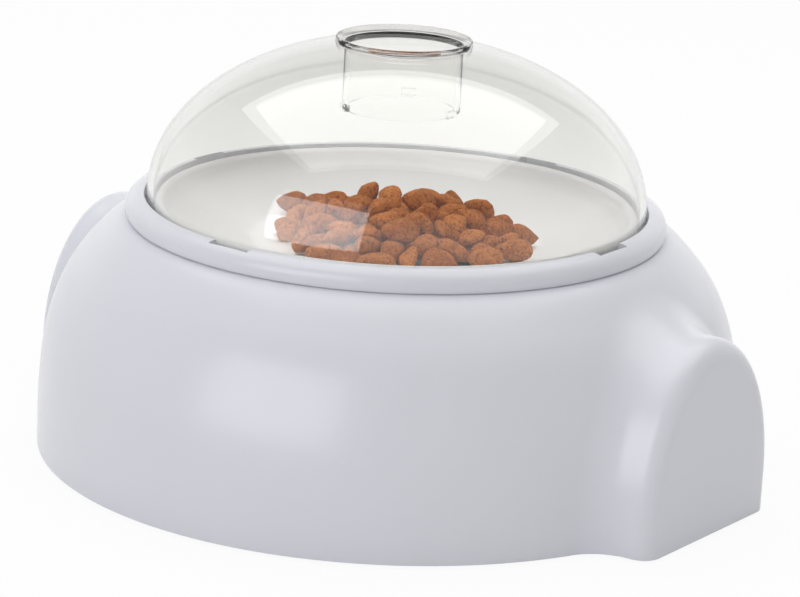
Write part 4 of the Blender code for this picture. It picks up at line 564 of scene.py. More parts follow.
skirt_profile = [(0, SKIRT_TOP), *skirt_curve(24), (SKIRT_FOOT, BELOW), (0, BELOW)]
rough = spun(skirt_profile, 96, closed=False)
for way in (1, -1):
    arch_shape = bmesh.new()
    start, end = way * LOBE_START, way * LOBE_END
    add_arch(arch_shape, LOBE_HALF_WIDTH, BELOW, LOBE_SIDE, LOBE_APEX, start, end)
    arch_mesh = bpy.data.meshes.new("arch")
    arch_shape.to_mesh(arch_mesh)
    arch_shape.free()
    rough.from_mesh(arch_mesh)
    bpy.data.meshes.remove(arch_mesh)
body_shell = piece("body_shell", rough, WHITE_GLOSS, "base", ["body_shell"])
even = body_shell.modifiers.new("even", "REMESH")
even.mode = "VOXEL"
even.voxel_size = QUAD_SIZE
apply_modifiers(body_shell)
print("even body:", len(body_shell.data.polygons), "faces")

# %% [markdown]
# The remeshed solid is now moved onto the field. The part below the floor line and the middle of
# the shoulder are cut away, which leaves an open skin, and a wall 3 mm thick is grown inwards. The
# recess for the collar, the flange with the tray's bore, the feeding bay and the window for the
# control panel follow.

# %% The skin, its wall and its openings
FLANGE_BORE = 0.0915
FLANGE_INNER = 0.090
FLANGE_OUTER = 0.1064
FLANGE_LOW = 0.0901
RECESS_RADIUS = 0.1059
RECESS_HIGH = 0.105
BORE_LOW = 0.08
BORE_HIGH = 0.1
HAIR = 0.00005
BAY_HALF_WIDTH = 0.033
BAY_APEX = 0.064
BAY_SILL = 0.0076
BAY_DEPTH = 0.006
BAY_PAST = 0.01
BEZEL_LOW = 0.0267
BEZEL_HIGH = 0.0573
BEZEL_HALF = 0.0303
BEZEL_NEAR = 0.120
BEZEL_FAR = 0.150
LEFT_ALONE = BELOW + 0.003
OPEN_RADIUS = FLANGE_BORE - 0.004
OPEN_HIGH = SKIRT_TOP - 0.001

points = np.empty(len(body_shell.data.vertices) * 3)
body_shell.data.vertices.foreach_get("co", points)
points = points.reshape(-1, 3)
above = points[:, 2] > LEFT_ALONE
points[above] = settle(points[above], body_field)
body_shell.data.vertices.foreach_set("co", points.ravel())
skin = bmesh.new()
skin.from_mesh(body_shell.data)
everything = list(skin.verts) + list(skin.edges) + list(skin.faces)
bmesh.ops.bisect_plane(
    skin, geom=everything, plane_co=(0, 0, SKIRT_LOW), plane_no=(0, 0, 1), dist=0.00001,
    clear_inner=True,
)
middle = []
for face in skin.faces:
    centre = face.calc_center_median()
    if centre.xy.length < OPEN_RADIUS and centre.z > OPEN_HIGH:
        middle.append(face)
bmesh.ops.delete(skin, geom=middle, context="FACES")
skin.to_mesh(body_shell.data)
skin.free()
wall = body_shell.modifiers.new("wall", "SOLIDIFY")
wall.thickness = SKIRT_WALL
wall.offset = -1
apply_modifiers(body_shell)


def round_cutter(radius, high, low, steps):
    return spun([(0, high), (radius, high), (radius, low), (0, low)], steps, closed=False)


carve(body_shell, round_cutter(RECESS_RADIUS, RECESS_HIGH, SKIRT_TOP, 256))
flange_high = SKIRT_TOP - HAIR
flange = [
    (FLANGE_INNER, flange_high),
    (FLANGE_OUTER, flange_high),
    (FLANGE_OUTER, FLANGE_LOW),
    (FLANGE_INNER, FLANGE_LOW),
]
carve(body_shell, spun(flange, 256), "UNION")
carve(body_shell, round_cutter(FLANGE_BORE, BORE_HIGH, BORE_LOW, 128))
bay = bmesh.new()
start, end = -LOBE_END + BAY_DEPTH, -LOBE_END - BAY_PAST
add_arch(bay, BAY_HALF_WIDTH, BAY_SILL, LOBE_SIDE, BAY_APEX, start, end, 48)
carve(body_shell, bay)
window = bmesh.new()
bar(window, (-BEZEL_HALF, BEZEL_NEAR, BEZEL_LOW), (BEZEL_HALF, BEZEL_FAR, BEZEL_HIGH))
carve(body_shell, window)
print("openings:", len(body_shell.data.polygons), "faces")

# %% Screw bosses and snap slots
BOSS_RING = 0.118
BOSS_RADIUS = 0.005
BOSS_LOW = 0.0079
BOSS_HIGH = 0.0812
PILOT_RADIUS = 0.0018
PILOT_LOW = BOSS_LOW - 0.002
PILOT_HIGH = 0.026
SLOT_INNER = 0.0986
SLOT_OUTER = 0.1016
SLOT_HALF = 0.0063
SLOT_LOW = SKIRT_TOP - 0.008
SLOT_HIGH = SKIRT_TOP + 0.004


def post(shape, x, y, low, high, radius, segments=48):
    """Adds an upright round post."""
    made = bmesh.ops.create_cone(
        shape, cap_ends=True, segments=segments, radius1=radius, radius2=radius, depth=high - low
    )["verts"]
    bmesh.ops.translate(shape, verts=made, vec=(x, y, (low + high) / 2))


bosses, pilots, slots = bmesh.new(), bmesh.new(), bmesh.new()
for turn in DIAGONALS:
    x, y = BOSS_RING * math.cos(turn), BOSS_RING * math.sin(turn)
    post(bosses, x, y, BOSS_LOW, BOSS_HIGH, BOSS_RADIUS)
    post(pilots, x, y, PILOT_LOW, PILOT_HIGH, PILOT_RADIUS)
    bar(slots, (SLOT_INNER, -SLOT_HALF, SLOT_LOW), (SLOT_OUTER, SLOT_HALF, SLOT_HIGH), turn)
carve(body_shell, bosses, "UNION")
carve(body_shell, pilots)
carve(body_shell, slots)
print("body shell:", len(body_shell.data.polygons), "faces")

# %% [markdown]
# ## The rolled collar
#
# The collar is one turned ring: a rounded outer roll that meets the lifted shoulder, a lip that
# hooks over the dome's lugs, and a narrow foot that stands in the shoulder's recess. Four windows
# in the lip let the lugs in, and four snaps under the foot hold the ring in the body.

# %% Collar
COLLAR_LOW = 0.0934
COLLAR_TOP = 0.1036
COLLAR_BORE = 0.1008
COLLAR_OUT = 0.1082
COLLAR_FOOT = 0.1056
COLLAR_INNER = 0.0973
COLLAR_GROOVE = 0.1046
COLLAR_FLOOR = 0.0949
COLLAR_UNDER = SKIRT_TOP + SHOULDER_LIFT + HAIR
COLLAR_TUCK = 0.0010
LIP_LOW = 0.0994
LIP_EDGE = (0.0005, 0.0006)
ROLL_MIDDLE = 0.0984
CROWN_RADII = (0.0062, 0.0052)
SIDE_RADII = (0.0013, 0.0036)
WINDOW_HALF = 0.0094
WINDOW_PAST = 0.002
WINDOW_HIGH = COLLAR_TOP + 0.004
SNAP_LEG = ((0.0989, -0.006, 0.0884), (0.1013, 0.006, 0.0942))
SNAP_BARB = ((0.1001, -0.0057, 0.0887), (0.1027, 0.0057, 0.0898))
LEG_EDGE = 0.0003
BARB_EDGE = 0.0002

inner_edge = arc((COLLAR_BORE + LIP_EDGE[0], COLLAR_TOP - LIP_EDGE[1]), LIP_EDGE, 180, 100, 5)
crown = arc((COLLAR_OUT - CROWN_RADII[0], ROLL_MIDDLE), CROWN_RADII, 96, 4, 24)
roll_side = arc((COLLAR_OUT - SIDE_RADII[0], ROLL_MIDDLE), SIDE_RADII, 0, -66, 14)
collar_profile = [
    *inner_edge,
    *crown,
    *roll_side,
    (COLLAR_OUT - COLLAR_TUCK, COLLAR_UNDER),
    (COLLAR_FOOT, COLLAR_UNDER),
    (COLLAR_FOOT, COLLAR_LOW + SOFT),
    (COLLAR_FOOT - SOFT, COLLAR_LOW),
    (COLLAR_INNER, COLLAR_LOW),
    (COLLAR_INNER, COLLAR_FLOOR),
    (COLLAR_GROOVE, COLLAR_FLOOR),
    (COLLAR_GROOVE, LIP_LOW),
    (COLLAR_BORE, LIP_LOW),
]
collar_ring = spun(collar_profile, 256)
collar = piece("rim_collar", collar_ring, WHITE_GLOSS, "base", ["rim_collar"])
windows = bmesh.new()
window_low = (COLLAR_BORE - WINDOW_PAST, -WINDOW_HALF, COLLAR_FLOOR + GAP)
window_high = (COLLAR_GROOVE, WINDOW_HALF, WINDOW_HIGH)
for turn in QUARTERS:
    bar(windows, window_low, window_high, turn)
carve(collar, windows)
snaps = bmesh.new()
for turn in DIAGONALS:
    bar(snaps, *SNAP_LEG, turn, LEG_EDGE)
    bar(snaps, *SNAP_BARB, turn, BARB_EDGE)
carve(collar, snaps, "UNION")
print("collar:", len(collar.data.polygons), "faces")

# %% [markdown]
# ## The clear dome and its fill tube
#
# Both are thin mouldings, so the profile goes up the outside and back down the inside and is
# spun as a closed loop. Real wall thickness matters here, because the two surfaces of a refracting
# wall are what makes its edges dark. The lugs are joined on so that no inner faces are left.

# %% Dome
DOME_RADIUS = 0.100
DOME_SPRING = 0.1032
DOME_RISE = 0.0653
DOME_WALL = 0.0025
DOME_LOW = 0.0965
DOME_POWER = 0.985
TUBE_RADIUS = 0.0234
OUTER_STEPS = 44
INNER_STEPS = 40
LUG_HALF = 0.0077
LUG_IN = DOME_RADIUS - 0.001
LUG_OUT = 0.1038
LUG_LOW = DOME_LOW + 0.0002
LUG_HIGH = DOME_LOW + 0.0025


def dome_point(turn, inset=0.0):
    """(radius, z) on the dome at an angle in radians above its spring line."""
    radius = (DOME_RADIUS - inset) * math.cos(turn) ** DOME_POWER
    return radius, DOME_SPRING + (DOME_RISE - inset) * math.sin(turn) ** DOME_POWER


def dome_turn(radius, inset=0.0):
    return math.acos((radius / (DOME_RADIUS - inset)) ** (1 / DOME_POWER))


hole = TUBE_RADIUS + GAP
outer_end, inner_end = dome_turn(hole), dome_turn(hole, DOME_WALL)
outside = [
    dome_point(outer_end * (OUTER_STEPS - step) / OUTER_STEPS) for step in range(OUTER_STEPS + 1)
]
inside = [dome_point(inner_end * step / INNER_STEPS, DOME_WALL) for step in range(INNER_STEPS + 1)]
foot = [
    (DOME_RADIUS, DOME_LOW + SOFT),
    (DOME_RADIUS - SOFT, DOME_LOW),
    (DOME_RADIUS - DOME_WALL + SOFT, DOME_LOW),
    (DOME_RADIUS - DOME_WALL, DOME_LOW + SOFT),
]
dome_shape = spun([*outside, *foot, *inside], 224)
dome = piece("dome_lid", dome_shape, CLEAR, "dome", ["dome_lid"])
lugs = bmesh.new()
for turn in QUARTERS:
    bar(lugs, (LUG_IN, -LUG_HALF, LUG_LOW), (LUG_OUT, LUG_HALF, LUG_HIGH), turn, SOFT)
carve(dome, lugs, "UNION")
print("dome:", len(dome.data.polygons), "faces")

# %% Fill tube
TUBE_BORE = 0.0214
BEAD_INNER = 0.0226
BEAD_OUTER = 0.0272
BEAD_TALL = 0.00214
FUNNEL_DEEP = 0.0030
TUBE_DEEP = 0.0268
HOOK_HALF = 0.003
HOOK_REACH = 0.0018
LIP_BAND = 0.0002


def dome_z(radius):
    return dome_point(dome_turn(radius))[1]


bead_low = dome_z(TUBE_RADIUS) + GAP
lip_top = bead_low + BEAD_TALL
funnel_low = lip_top - FUNNEL_DEEP
tube_low = bead_low - TUBE_DEEP
tube_profile = [
    (TUBE_BORE, funnel_low - 0.0012),
    (BEAD_INNER - 0.0004, funnel_low),
    (BEAD_OUTER - 0.0010, lip_top - 0.0001),
    (BEAD_OUTER - 0.0006, lip_top),
    (BEAD_OUTER - 0.0001, lip_top - 0.0004),
    (BEAD_OUTER, dome_z(BEAD_OUTER) + 0.0006),
    (TUBE_RADIUS + 0.0008, dome_z(TUBE_RADIUS + 0.0008) + GAP),
    (TUBE_RADIUS, bead_low - 0.0006),
    (TUBE_RADIUS, tube_low + 0.0004),
    (TUBE_RADIUS - 0.0005, tube_low),
    (TUBE_BORE + 0.0005, tube_low),
    (TUBE_BORE, tube_low + 0.0004),
]
tube_shape = spun(tube_profile, 128)
tube = piece("fill_tube", tube_shape, CLEAR_THIN, "dome", ["fill_tube"])
hooks = bmesh.new()
hook_low = (TUBE_RADIUS - 0.001, -HOOK_HALF, tube_low + 0.0003)
hook_high = (TUBE_RADIUS + HOOK_REACH, HOOK_HALF, tube_low + 0.003)
for number in range(3):
    bar(hooks, hook_low, hook_high, math.tau * number / 3, SOFT)
carve(tube, hooks, "UNION")
tube.data.materials.append(CLEAR_SATIN)
for face in tube.data.polygons:
    reach = math.hypot(face.center.x, face.center.y)
    if face.center.z > funnel_low - 0.0010 and abs(reach - TUBE_RADIUS) > LIP_BAND:
        face.material_index = 1
print("tube:", len(tube.data.polygons), "faces")

# %% [markdown]
# ## The tray
#
# A shallow white bowl hangs by its bead inside the dome, and its wall meets the bead in a soft
# corner. The floor is flat, so that food lies still until the agitator pushes it to the drop hole.

# %% Tray
TRAY_RIM = 0.0969
TRAY_BEAD = 0.00185
TRAY_BEAD_TOP = 0.1026
TRAY_FLOOR = 0.087
TRAY_FLAT = 0.058
TRAY_RISE = 0.010
TRAY_WALL = 0.0022
TRAY_COVE = 0.0047
COVE_TOP = TRAY_BEAD_TOP - TRAY_BEAD - 0.0006
COVE_STEPS = 10
BOWL_STEPS = 24
SHAFT_HOLE = 0.0049
DROP_LOW = (0.027, -0.017, TRAY_FLOOR - 0.01)
DROP_HIGH = (0.045, 0.017, TRAY_FLOOR + 0.004)

bead_start = TRAY_RIM - 2 * TRAY_BEAD


def bowl_height(radius):
    share = (bead_start - radius) / (bead_start - TRAY_FLAT)
    return TRAY_FLOOR + TRAY_RISE * (1 - share) ** 2


bowl_width = bead_start - TRAY_COVE - TRAY_FLAT
radii = [TRAY_FLAT + bowl_width * step / BOWL_STEPS for step in range(BOWL_STEPS + 1)]
bowl = [(radius, bowl_height(radius)) for radius in radii]
low_end = bowl[-1]
steepness = (bowl[-1][1] - bowl[-2][1]) / (bowl[-1][0] - bowl[-2][0])
corner = (bead_start, low_end[1] + steepness * TRAY_COVE)
high_end = (bead_start, COVE_TOP)
cove = []
for step in range(1, COVE_STEPS + 1):
    share = step / COVE_STEPS
    cove.append(tuple(
        (1 - share) ** 2 * p + 2 * share * (1 - share) * q + share * share * r
        for p, q, r in zip(low_end, corner, high_end)
    ))
bead_centre = (TRAY_RIM - TRAY_BEAD, TRAY_BEAD_TOP - TRAY_BEAD)
tray_bead = arc(bead_centre, (TRAY_BEAD, TRAY_BEAD), 180, 0, 14)
under = [(radius, z - TRAY_WALL) for radius, z in reversed(bowl)]
tray_profile = [
    *tray_bead,
    (TRAY_RIM, COLLAR_LOW),
    (FLANGE_BORE - GAP, COLLAR_LOW),
    *under,
    (SHAFT_HOLE, TRAY_FLOOR - TRAY_WALL),
    (SHAFT_HOLE, TRAY_FLOOR),
    *bowl,
    *cove,
]
tray_shape = spun(tray_profile, 224)
tray = piece("hopper_tray", tray_shape, TRAY_WHITE, "base", ["hopper_tray"])
drop = bmesh.new()
bar(drop, DROP_LOW, DROP_HIGH)
carve(tray, drop)
print("tray:", len(tray.data.polygons), "faces")

# %% [markdown]
# ## Dry food
#
# The heap is made of separate pieces, each like a blunt almond about 13 mm long. The pieces that
# the photograph shows are put where they lie there, seen along the camera's own right and front.
# Under them lie two layers that nobody sees. All pieces are then pushed apart and let down for a
# few hundred small steps, until they rest on the tray and on each other. Over the agitator they
# stay clear of the space that its arms sweep.

# %% Food finish
def food_finish():
    """Baked food: a crumbly skin, painted shade in its hollows and a tone of its own for each
    piece.
    """
    made, shader, shade = new_finish("dry_food", (0.45, 0.19, 0.07), 0.85, Specular_IOR_Level=0.25)
    tone = shade.make("ShaderNodeAttribute", {"attribute_name": "tone"}, output="Fac")
    crumbs = grain(shade, 0.0012, detail=5.0, roughness=0.7)
    blotches = grain(shade, 0.005, detail=3.0)
    mask = (tone * 0.55 + (blotches - 0.5) * 1.6 + 0.22).clamp()
    base = mask.mix((0.43, 0.125, 0.024), (0.74, 0.262, 0.062))
    # Where the fine crumbs sink, the colour is painted darker: painted shade in the hollows of the
    # bump.
    painted_pit_shade = ((crumbs - 0.36) * 7.0).clamp()
    link(shader, "Base Color", painted_pit_shade.mix((0.25, 0.068, 0.014), base))
    link(shader, "Roughness", 0.72 + crumbs * 0.2)
    link(shader, "Normal", bump(shade, crumbs + blotches * 1.5, 0.0012))
    return made


FOOD = food_finish()
print("food finish ready")

# %% Where the food lies
# right, front and height over the tray in millimetres, lean and turn in degrees, size as a share
SEEN_FOOD = (
    (-42.2, -31.9, 4.0, -10, 15, 1.08),
    (-33.6, -29.2, 6.8, 15, 40, 0.95),
    (-25.2, -19.4, 10.6, -10, 10, 0.90),
    (-23.2, 6.1, 12.3, -60, 20, 0.95),
    (-31.6, 5.7, 10.5, 60, 20, 1.00),
    (-16.7, 13.0, 12.8, 70, 10, 0.95),
    (-12.5, -32.7, 9.7, 65, 20, 1.00),
    (-14.7, -3.1, 13.6, 5, 0, 0.95),
    (-3.4, -32.9, 10.3, 20, 60, 0.95),
    (-1.8, 3.9, 14.4, 80, 10, 0.85),
    (8.6, -0.5, 14.2, -12, 0, 1.12),
    (11.4, -32.8, 9.8, 8, 10, 1.00),
    (19.5, -15.7, 12.1, -35, 5, 1.00),
    (23.7, -32.5, 8.2, -30, 60, 1.08),
    (33.2, -25.4, 7.7, -25, 0, 1.08),
    (23.1, 4.0, 12.4, 25, 0, 1.00),
    (-4.5, 24.0, 12.2, 5, 0, 1.00),
    (2.5, 19.5, 13.0, -25, 30, 0.90),
    (10.0, 18.7, 12.7, 60, 30, 0.95),
    (16.7, 14.0, 12.6, 30, 40, 0.90),
    (30.8, 8.2, 10.6, -40, 10, 1.05),
    (23.1, 21.0, 10.7, 20, 60, 1.00),
    (19.2, 26.4, 10.3, -60, 10, 0.90),
    (41.3, 7.6, 7.6, 10, 20, 0.90),
    (-11.5, 27.3, 11.1, -5, 50, 0.95),
    (-8.8, 36.1, 9.1, -20, 30, 0.98),
    (2.5, 35.5, 9.5, 3, 10, 1.18),
    (11.7, 28.3, 10.9, -35, 0, 1.10),
    (11.9, 38.1, 8.3, 28, 0, 1.10),
    (29.1, 26.5, 8.4, 30, 0, 0.95),
    (36.7, 25.1, 6.8, 35, 20, 0.95),
    (49.5, 5.1, 4.9, -8, 5, 1.05),
    (44.7, 25.9, 4.1, 8, 0, 1.12),
    (23.3, 38.0, 6.8, -28, 0, 1.05),
    (33.2, 34.6, 5.5, 0, 30, 0.95),
    (-11.3, 43.0, 6.8, 0, 20, 0.85),
    (-2.3, 44.3, 6.8, 40, 40, 1.00),
    (5.9, 46.7, 5.9, 60, 60, 0.85),
    (-7.2, 48.9, 5.0, 0, 0, 1.10),
    (17.2, 46.6, 4.8, 3, 0, 1.10),
    (32.8, 39.1, 4.3, 3, 0, 1.10),
    (-28.5, 22.6, 9.4, 5, 0, 1.12),
    (-20.5, 26.7, 10.1, -10, 30, 0.95),
    (-35.2, 30.1, 6.2, 75, 20, 0.95),
    (-29.1, 35.5, 6.3, -20, 20, 0.95),
    (-21.2, 38.3, 7.1, -10, 30, 0.95),
    (-25.6, 42.7, 4.8, 0, 0, 1.10),
    (-17.0, 45.7, 5.3, 0, 20, 1.00),
    (44.9, 15.4, 5.8, -20, 40, 0.90),
)
FOOD_LEAN_SHARE = 0.8
AGITATOR_SWEEP = 0.0335
AGITATOR_HIGH = 0.0902
HUB_SWEEP = 0.0105
HUB_HIGH = 0.0931
HEAP_REACH = 0.052
HEAP_SKIN_LOW = 0.004
HEAP_SKIN_RISE = 0.0105
# height of the middles over the tray, reach, and how high the heap must be over a piece
UNDER_LAYERS = ((0.0042, 0.047, 0.0070), (0.010, 0.033, 0.0145))
UNDER_SPACING = 0.0056
UNDER_SIZE = 0.92
GOLDEN_TURN = math.radians(137.508)


def tray_height(x, y):
    """The tray's surface, raised over the space where the agitator turns."""
    radius = np.hypot(x, y)
    share = np.clip((bead_start - radius) / (bead_start - TRAY_FLAT), 0, 1)
    height = np.where(radius < TRAY_FLAT, TRAY_FLOOR, TRAY_FLOOR + TRAY_RISE * (1 - share) ** 2)
    height = np.where(radius < AGITATOR_SWEEP, AGITATOR_HIGH, height)
    return np.where(radius < HUB_SWEEP, HUB_HIGH, height)


def heap_skin(x, y):
    """Height over the tray of the middles of the pieces on top."""
    return HEAP_SKIN_LOW + HEAP_SKIN_RISE * max(1 - (x * x + y * y) / HEAP_REACH ** 2, 0)


def under_layers():
    """Hidden pieces: a layer on the tray and a smaller one on it, each on a sunflower spiral."""
    hidden = []
    for layer, (height, layer_reach, cover) in enumerate(UNDER_LAYERS):
        count = int((layer_reach / UNDER_SPACING) ** 2)
        for index in range(count):
            turn = index * GOLDEN_TURN + layer
            radius = layer_reach * math.sqrt((index + 0.5) / count)
            x, y = radius * math.cos(turn), radius * math.sin(turn)
            if heap_skin(x, y) >= cover:
                lean = 0.15 * math.sin(index * 2.1)
                hidden.append((x, y, TRAY_FLOOR + height, turn * 1.7, lean, UNDER_SIZE, 0))
    return hidden


rows = []
for right, front, up, lean, turn, size in SEEN_FOOD:
    x = right * math.cos(CAMERA_AZIMUTH) + front * math.sin(CAMERA_AZIMUTH)
    y = right * math.sin(CAMERA_AZIMUTH) - front * math.cos(CAMERA_AZIMUTH)
    yaw = CAMERA_AZIMUTH + math.radians(turn)
    lean = math.radians(lean) * FOOD_LEAN_SHARE
    rows.append((x * MM, y * MM, TRAY_FLOOR + up * MM, yaw, lean, size, 1))
lying = np.array(rows + under_layers())
print("seen pieces:", len(rows), "hidden pieces:", len(lying) - len(rows))

# %% Let the food settle
BALL_RADIUS = 0.00375
BALL_STEP = 0.0027
SETTLE_ROUNDS = 260
PUSH_SHARE = 0.35
SEEN_YIELD = 0.35
SEEN_PULL = 0.06
FALL = 0.00006

seen_food = lying[:, 6] > 0
food_yaw, food_lean, food_size = lying[:, 3], lying[:, 4], lying[:, 5]
long_axis = np.stack([
    np.cos(food_yaw) * np.cos(food_lean), np.sin(food_yaw) * np.cos(food_lean), np.sin(food_lean)
], axis=1)
food_place = lying[:, :3].copy()
food_aim = food_place.copy()
ball_radius = BALL_RADIUS * food_size
ball_step = BALL_STEP * food_size
owner = np.repeat(np.arange(len(lying)), 3)
same_piece = owner[:, None] == owner[None, :]
reach = np.repeat(ball_radius, 3)
ease = np.where(seen_food, SEEN_YIELD, 1.0)[owner]
pull = np.where(seen_food, SEEN_PULL, 0.0)[:, None]


def food_balls(place):
    """Each piece is felt by the others as three balls along its long axis."""
    step = long_axis * ball_step[:, None]
    return np.stack([place - step, place, place + step], axis=1)


for _ in range(SETTLE_ROUNDS):
    balls = food_balls(food_place).reshape(-1, 3)
    apart = balls[:, None, :] - balls[None, :, :]
    distance = np.sqrt((apart ** 2).sum(axis=2)) + 1e-12
    overlap = np.maximum(reach[:, None] + reach[None, :] - distance, 0)
    overlap[same_piece] = 0
    overlap *= ease[:, None] / (ease[:, None] + ease[None, :])
    push = (apart / distance[:, :, None] * overlap[:, :, None]).sum(axis=1)
    shift = np.zeros_like(food_place)
    np.add.at(shift, owner, push)
    food_place += PUSH_SHARE * shift
    food_place[:, 2] -= FALL
    food_place += pull * (food_aim - food_place)
    balls = food_balls(food_place)
    clear = balls[:, :, 2] - ball_radius[:, None] - tray_height(balls[:, :, 0], balls[:, :, 1])
    food_place[:, 2] += np.maximum(-clear.min(axis=1), 0)
highest = food_place[:, 2].max() - TRAY_FLOOR
print("highest middle over the tray:", round(highest * 1000, 1), "mm")


# %% Food heap
FOOD_LENGTH = 0.0136
FOOD_WIDTH = 0.0088
FOOD_THICK = 0.0070
FLATS = 9
FLAT_POWER = 8
GOLDEN_SHARE = 0.618034


def food_form(directions, seed):
    """One piece about the origin: a ball stretched to an almond, with soft flats and lumps."""
    chance = np.random.default_rng(seed)
    sides = chance.normal(size=(FLATS, 3))
    sides /= np.linalg.norm(sides, axis=1, keepdims=True)
    depths = chance.uniform(0.80, 1.05, FLATS)
    facing = np.maximum(directions @ sides.T / depths, 0)
    flattened = (facing ** FLAT_POWER).sum(axis=1, keepdims=True)
    ball = directions * (1 + flattened) ** (-1 / FLAT_POWER)
    drift = Vector(chance.uniform(0, 40, 3))
    lumps = np.array([
        1.07 + 0.10 * noise.noise(Vector(d) * 1.5 + drift)
        + 0.05 * noise.noise(Vector(d) * 4 + drift)
        + 0.02 * noise.noise(Vector(d) * 10 + drift)
        for d in directions
    ])
    x, y, z = (ball * lumps[:, None]).T
    taper = 1 - 0.32 * x - 0.12 * x ** 2
    flat = chance.uniform(0.88, 1.1)
    return np.stack([
        x * FOOD_LENGTH / 2,
        y * FOOD_WIDTH / 2 * taper,
        z * FOOD_THICK / 2 * flat * (0.5 + 0.5 * taper),
    ], axis=1)


def food_piece(shape, place, yaw, lean, size, seed):
    """Adds one piece, turned and laid in its place."""
    made = bmesh.ops.create_icosphere(shape, subdivisions=3, radius=1.0)["verts"]
    directions = np.array([vert.co.normalized() for vert in made])
    form = food_form(directions, seed) * size
    roll = 1.4 * math.sin(seed * 2.4)
    half = math.pi * (seed % 2)
    turn = (
        Matrix.Rotation(yaw, 3, "Z") @ Matrix.Rotation(-lean, 3, "Y")
        @ Matrix.Rotation(roll, 3, "X") @ Matrix.Rotation(half, 3, "Z")
    )
    for vert, spot in zip(made, form @ np.array(turn).T + place):
        vert.co = spot
    return len(made)


food = bmesh.new()
tones = []
for index, place in enumerate(food_place):
    count = food_piece(food, place, food_yaw[index], food_lean[index], food_size[index], index + 1)
    tones += [(index * GOLDEN_SHARE) % 1] * count
heap = piece("food_pieces", food, FOOD, "base", ["kibble_heap"], sharp=180)
tone = heap.data.attributes.new("tone", "FLOAT", "POINT")
tone.data.foreach_set("value", tones)
print("food pieces:", len(food_place))

# %% [markdown]
# ## The other parts
#
# The parts in the feeding bay, on the control panel and under the base have the right form
# already, but a moulded part has no knife edge. Each is copied from its solid, its triangles are
# joined to whole faces, and its edges are rounded by a few tenths of a millimetre, so that they
# catch the light. The mechanism inside is never seen, so it keeps its solids and only gets the
# finishes.

# %% Which body carries each solid
BODIES = frame["record"]["behaviour"]["bodies"]
BODY_OF = {name: body for body, names in BODIES.items() for name in names}
print("solids with a body:", len(BODY_OF))


# %% Rounded copies
CORNER_ANGLE = 32
FLAT_ANGLE = 0.5
FULL_WEIGHT = 100


def rounded_copy(name, finish, width):
    """A copy of a solid with whole faces and rounded edges, which stands for it."""
    shape = bmesh.new()
    shape.from_mesh(nodes[name].data)
    bmesh.ops.remove_doubles(shape, verts=shape.verts, dist=MERGE)
    bmesh.ops.dissolve_limit(
        shape, angle_limit=math.radians(FLAT_ANGLE), verts=shape.verts, edges=shape.edges
    )
    edges = [
        edge for edge in shape.edges
        if len(edge.link_faces) == 2 and edge.calc_face_angle() > math.radians(CORNER_ANGLE)
    ]
    bmesh.ops.bevel(
        shape, geom=edges, offset=width, offset_type="OFFSET", segments=2, affect="EDGES",
        profile=0.5, material=-1, clamp_overlap=True,
    )
    bmesh.ops.remove_doubles(shape, verts=shape.verts, dist=MERGE)
    made = piece(name, shape, finish, BODY_OF[name], [name], sharp=CORNER_ANGLE)
    even = made.modifiers.new("even_shading", "WEIGHTED_NORMAL")
    even.weight = FULL_WEIGHT
    even.keep_sharp = True
    apply_modifiers(made, keep_shading=True)


ROUNDED = {
    "alcove_liner": (TRAY_WHITE, 0.0004),
    "outlet_flap": (TRAY_WHITE, 0.0003),
    "outlet_chute": (GREY_PLASTIC, 0.0003),
    "base_plate": (GREY_PLASTIC, 0.0003),
    "battery_door": (GREY_PLASTIC, 0.0003),
    "power_switch": (RUBBER, 0.0004),
    "agitator": (GREY_PLASTIC, 0.0004),
    "feed_button": (BUTTON_WHITE, 0.0003),
}
for name, (finish, width) in ROUNDED.items():
    rounded_copy(name, finish, width)
print("rounded copies:", len(ROUNDED))


# %% Finish the other solids
def numbered(stem, count):
    return [f"{stem}_{number}" for number in range(1, count + 1)]


KEPT = (
    (TRAY_WHITE, ["feed_dish"]),
    (CLEAR, ["status_lens"]),
    (SILICONE, ["dome_gasket"]),
    (GREY_PLASTIC, ["meter_housing", "gear_frame", "battery_box", "control_bezel"]),
    (ACETAL, ["meter_rotor", "drive_gear"]),
    (BOARD_GREEN, ["circuit_board"]),
    (RUBBER, ["tact_switch", *numbered("rubber_foot", 4)]),
    (CELL_WRAP, numbered("battery_cell", 4)),
    (STEEL, ["rotor_shaft", "retaining_ring", "gear_motor", "motor_shaft", "flap_pin"]),
    (STEEL, ["switch_block", *numbered("motor_screw", 2), *numbered("base_screw", 4)]),
    (STEEL, numbered("cell_contact", 5)),
    (BRASS, ["motor_pinion", "upper_bush", "lower_bush"]),
    (WIRE_RED, ["motor_lead", "battery_lead"]),
)
for finish, names in KEPT:
    for name in names:
        slots = nodes[name].material_slots
        for slot in slots:
            slot.material = finish
        if not slots:
            nodes[name].data.materials.append(finish)
print("kept solids:", sum(len(names) for _, names in KEPT))

# %% [markdown]
# ## Floor, light and background
#
# The photograph was taken on white, with one large softbox in front and another one overhead,
# whose edges show in the dome and on the body. Each of them is made as two lamps: one that lights
# the object and one that only shows in gloss, so that a reflection gets its own size and strength.
# The background is white for the camera and for reflections, but gives the object no more light
# than the lamps do.

# %% Floor and world
FLOOR_HALF = 6.0
FLOOR_WHITE = 0.93
AMBIENT = 0.34
CEILING = 0.30
HORIZON = 0.15
HORIZON_FADE = 2.2
SEEN_RAYS = ("Camera", "Glossy", "Transmission")


def seen_rays(shade):
    """For each kind of ray that sees a surface, a value of 1 on such a ray and 0 on others."""
    return [shade.make("ShaderNodeLightPath", output=f"Is {kind} Ray") for kind in SEEN_RAYS]


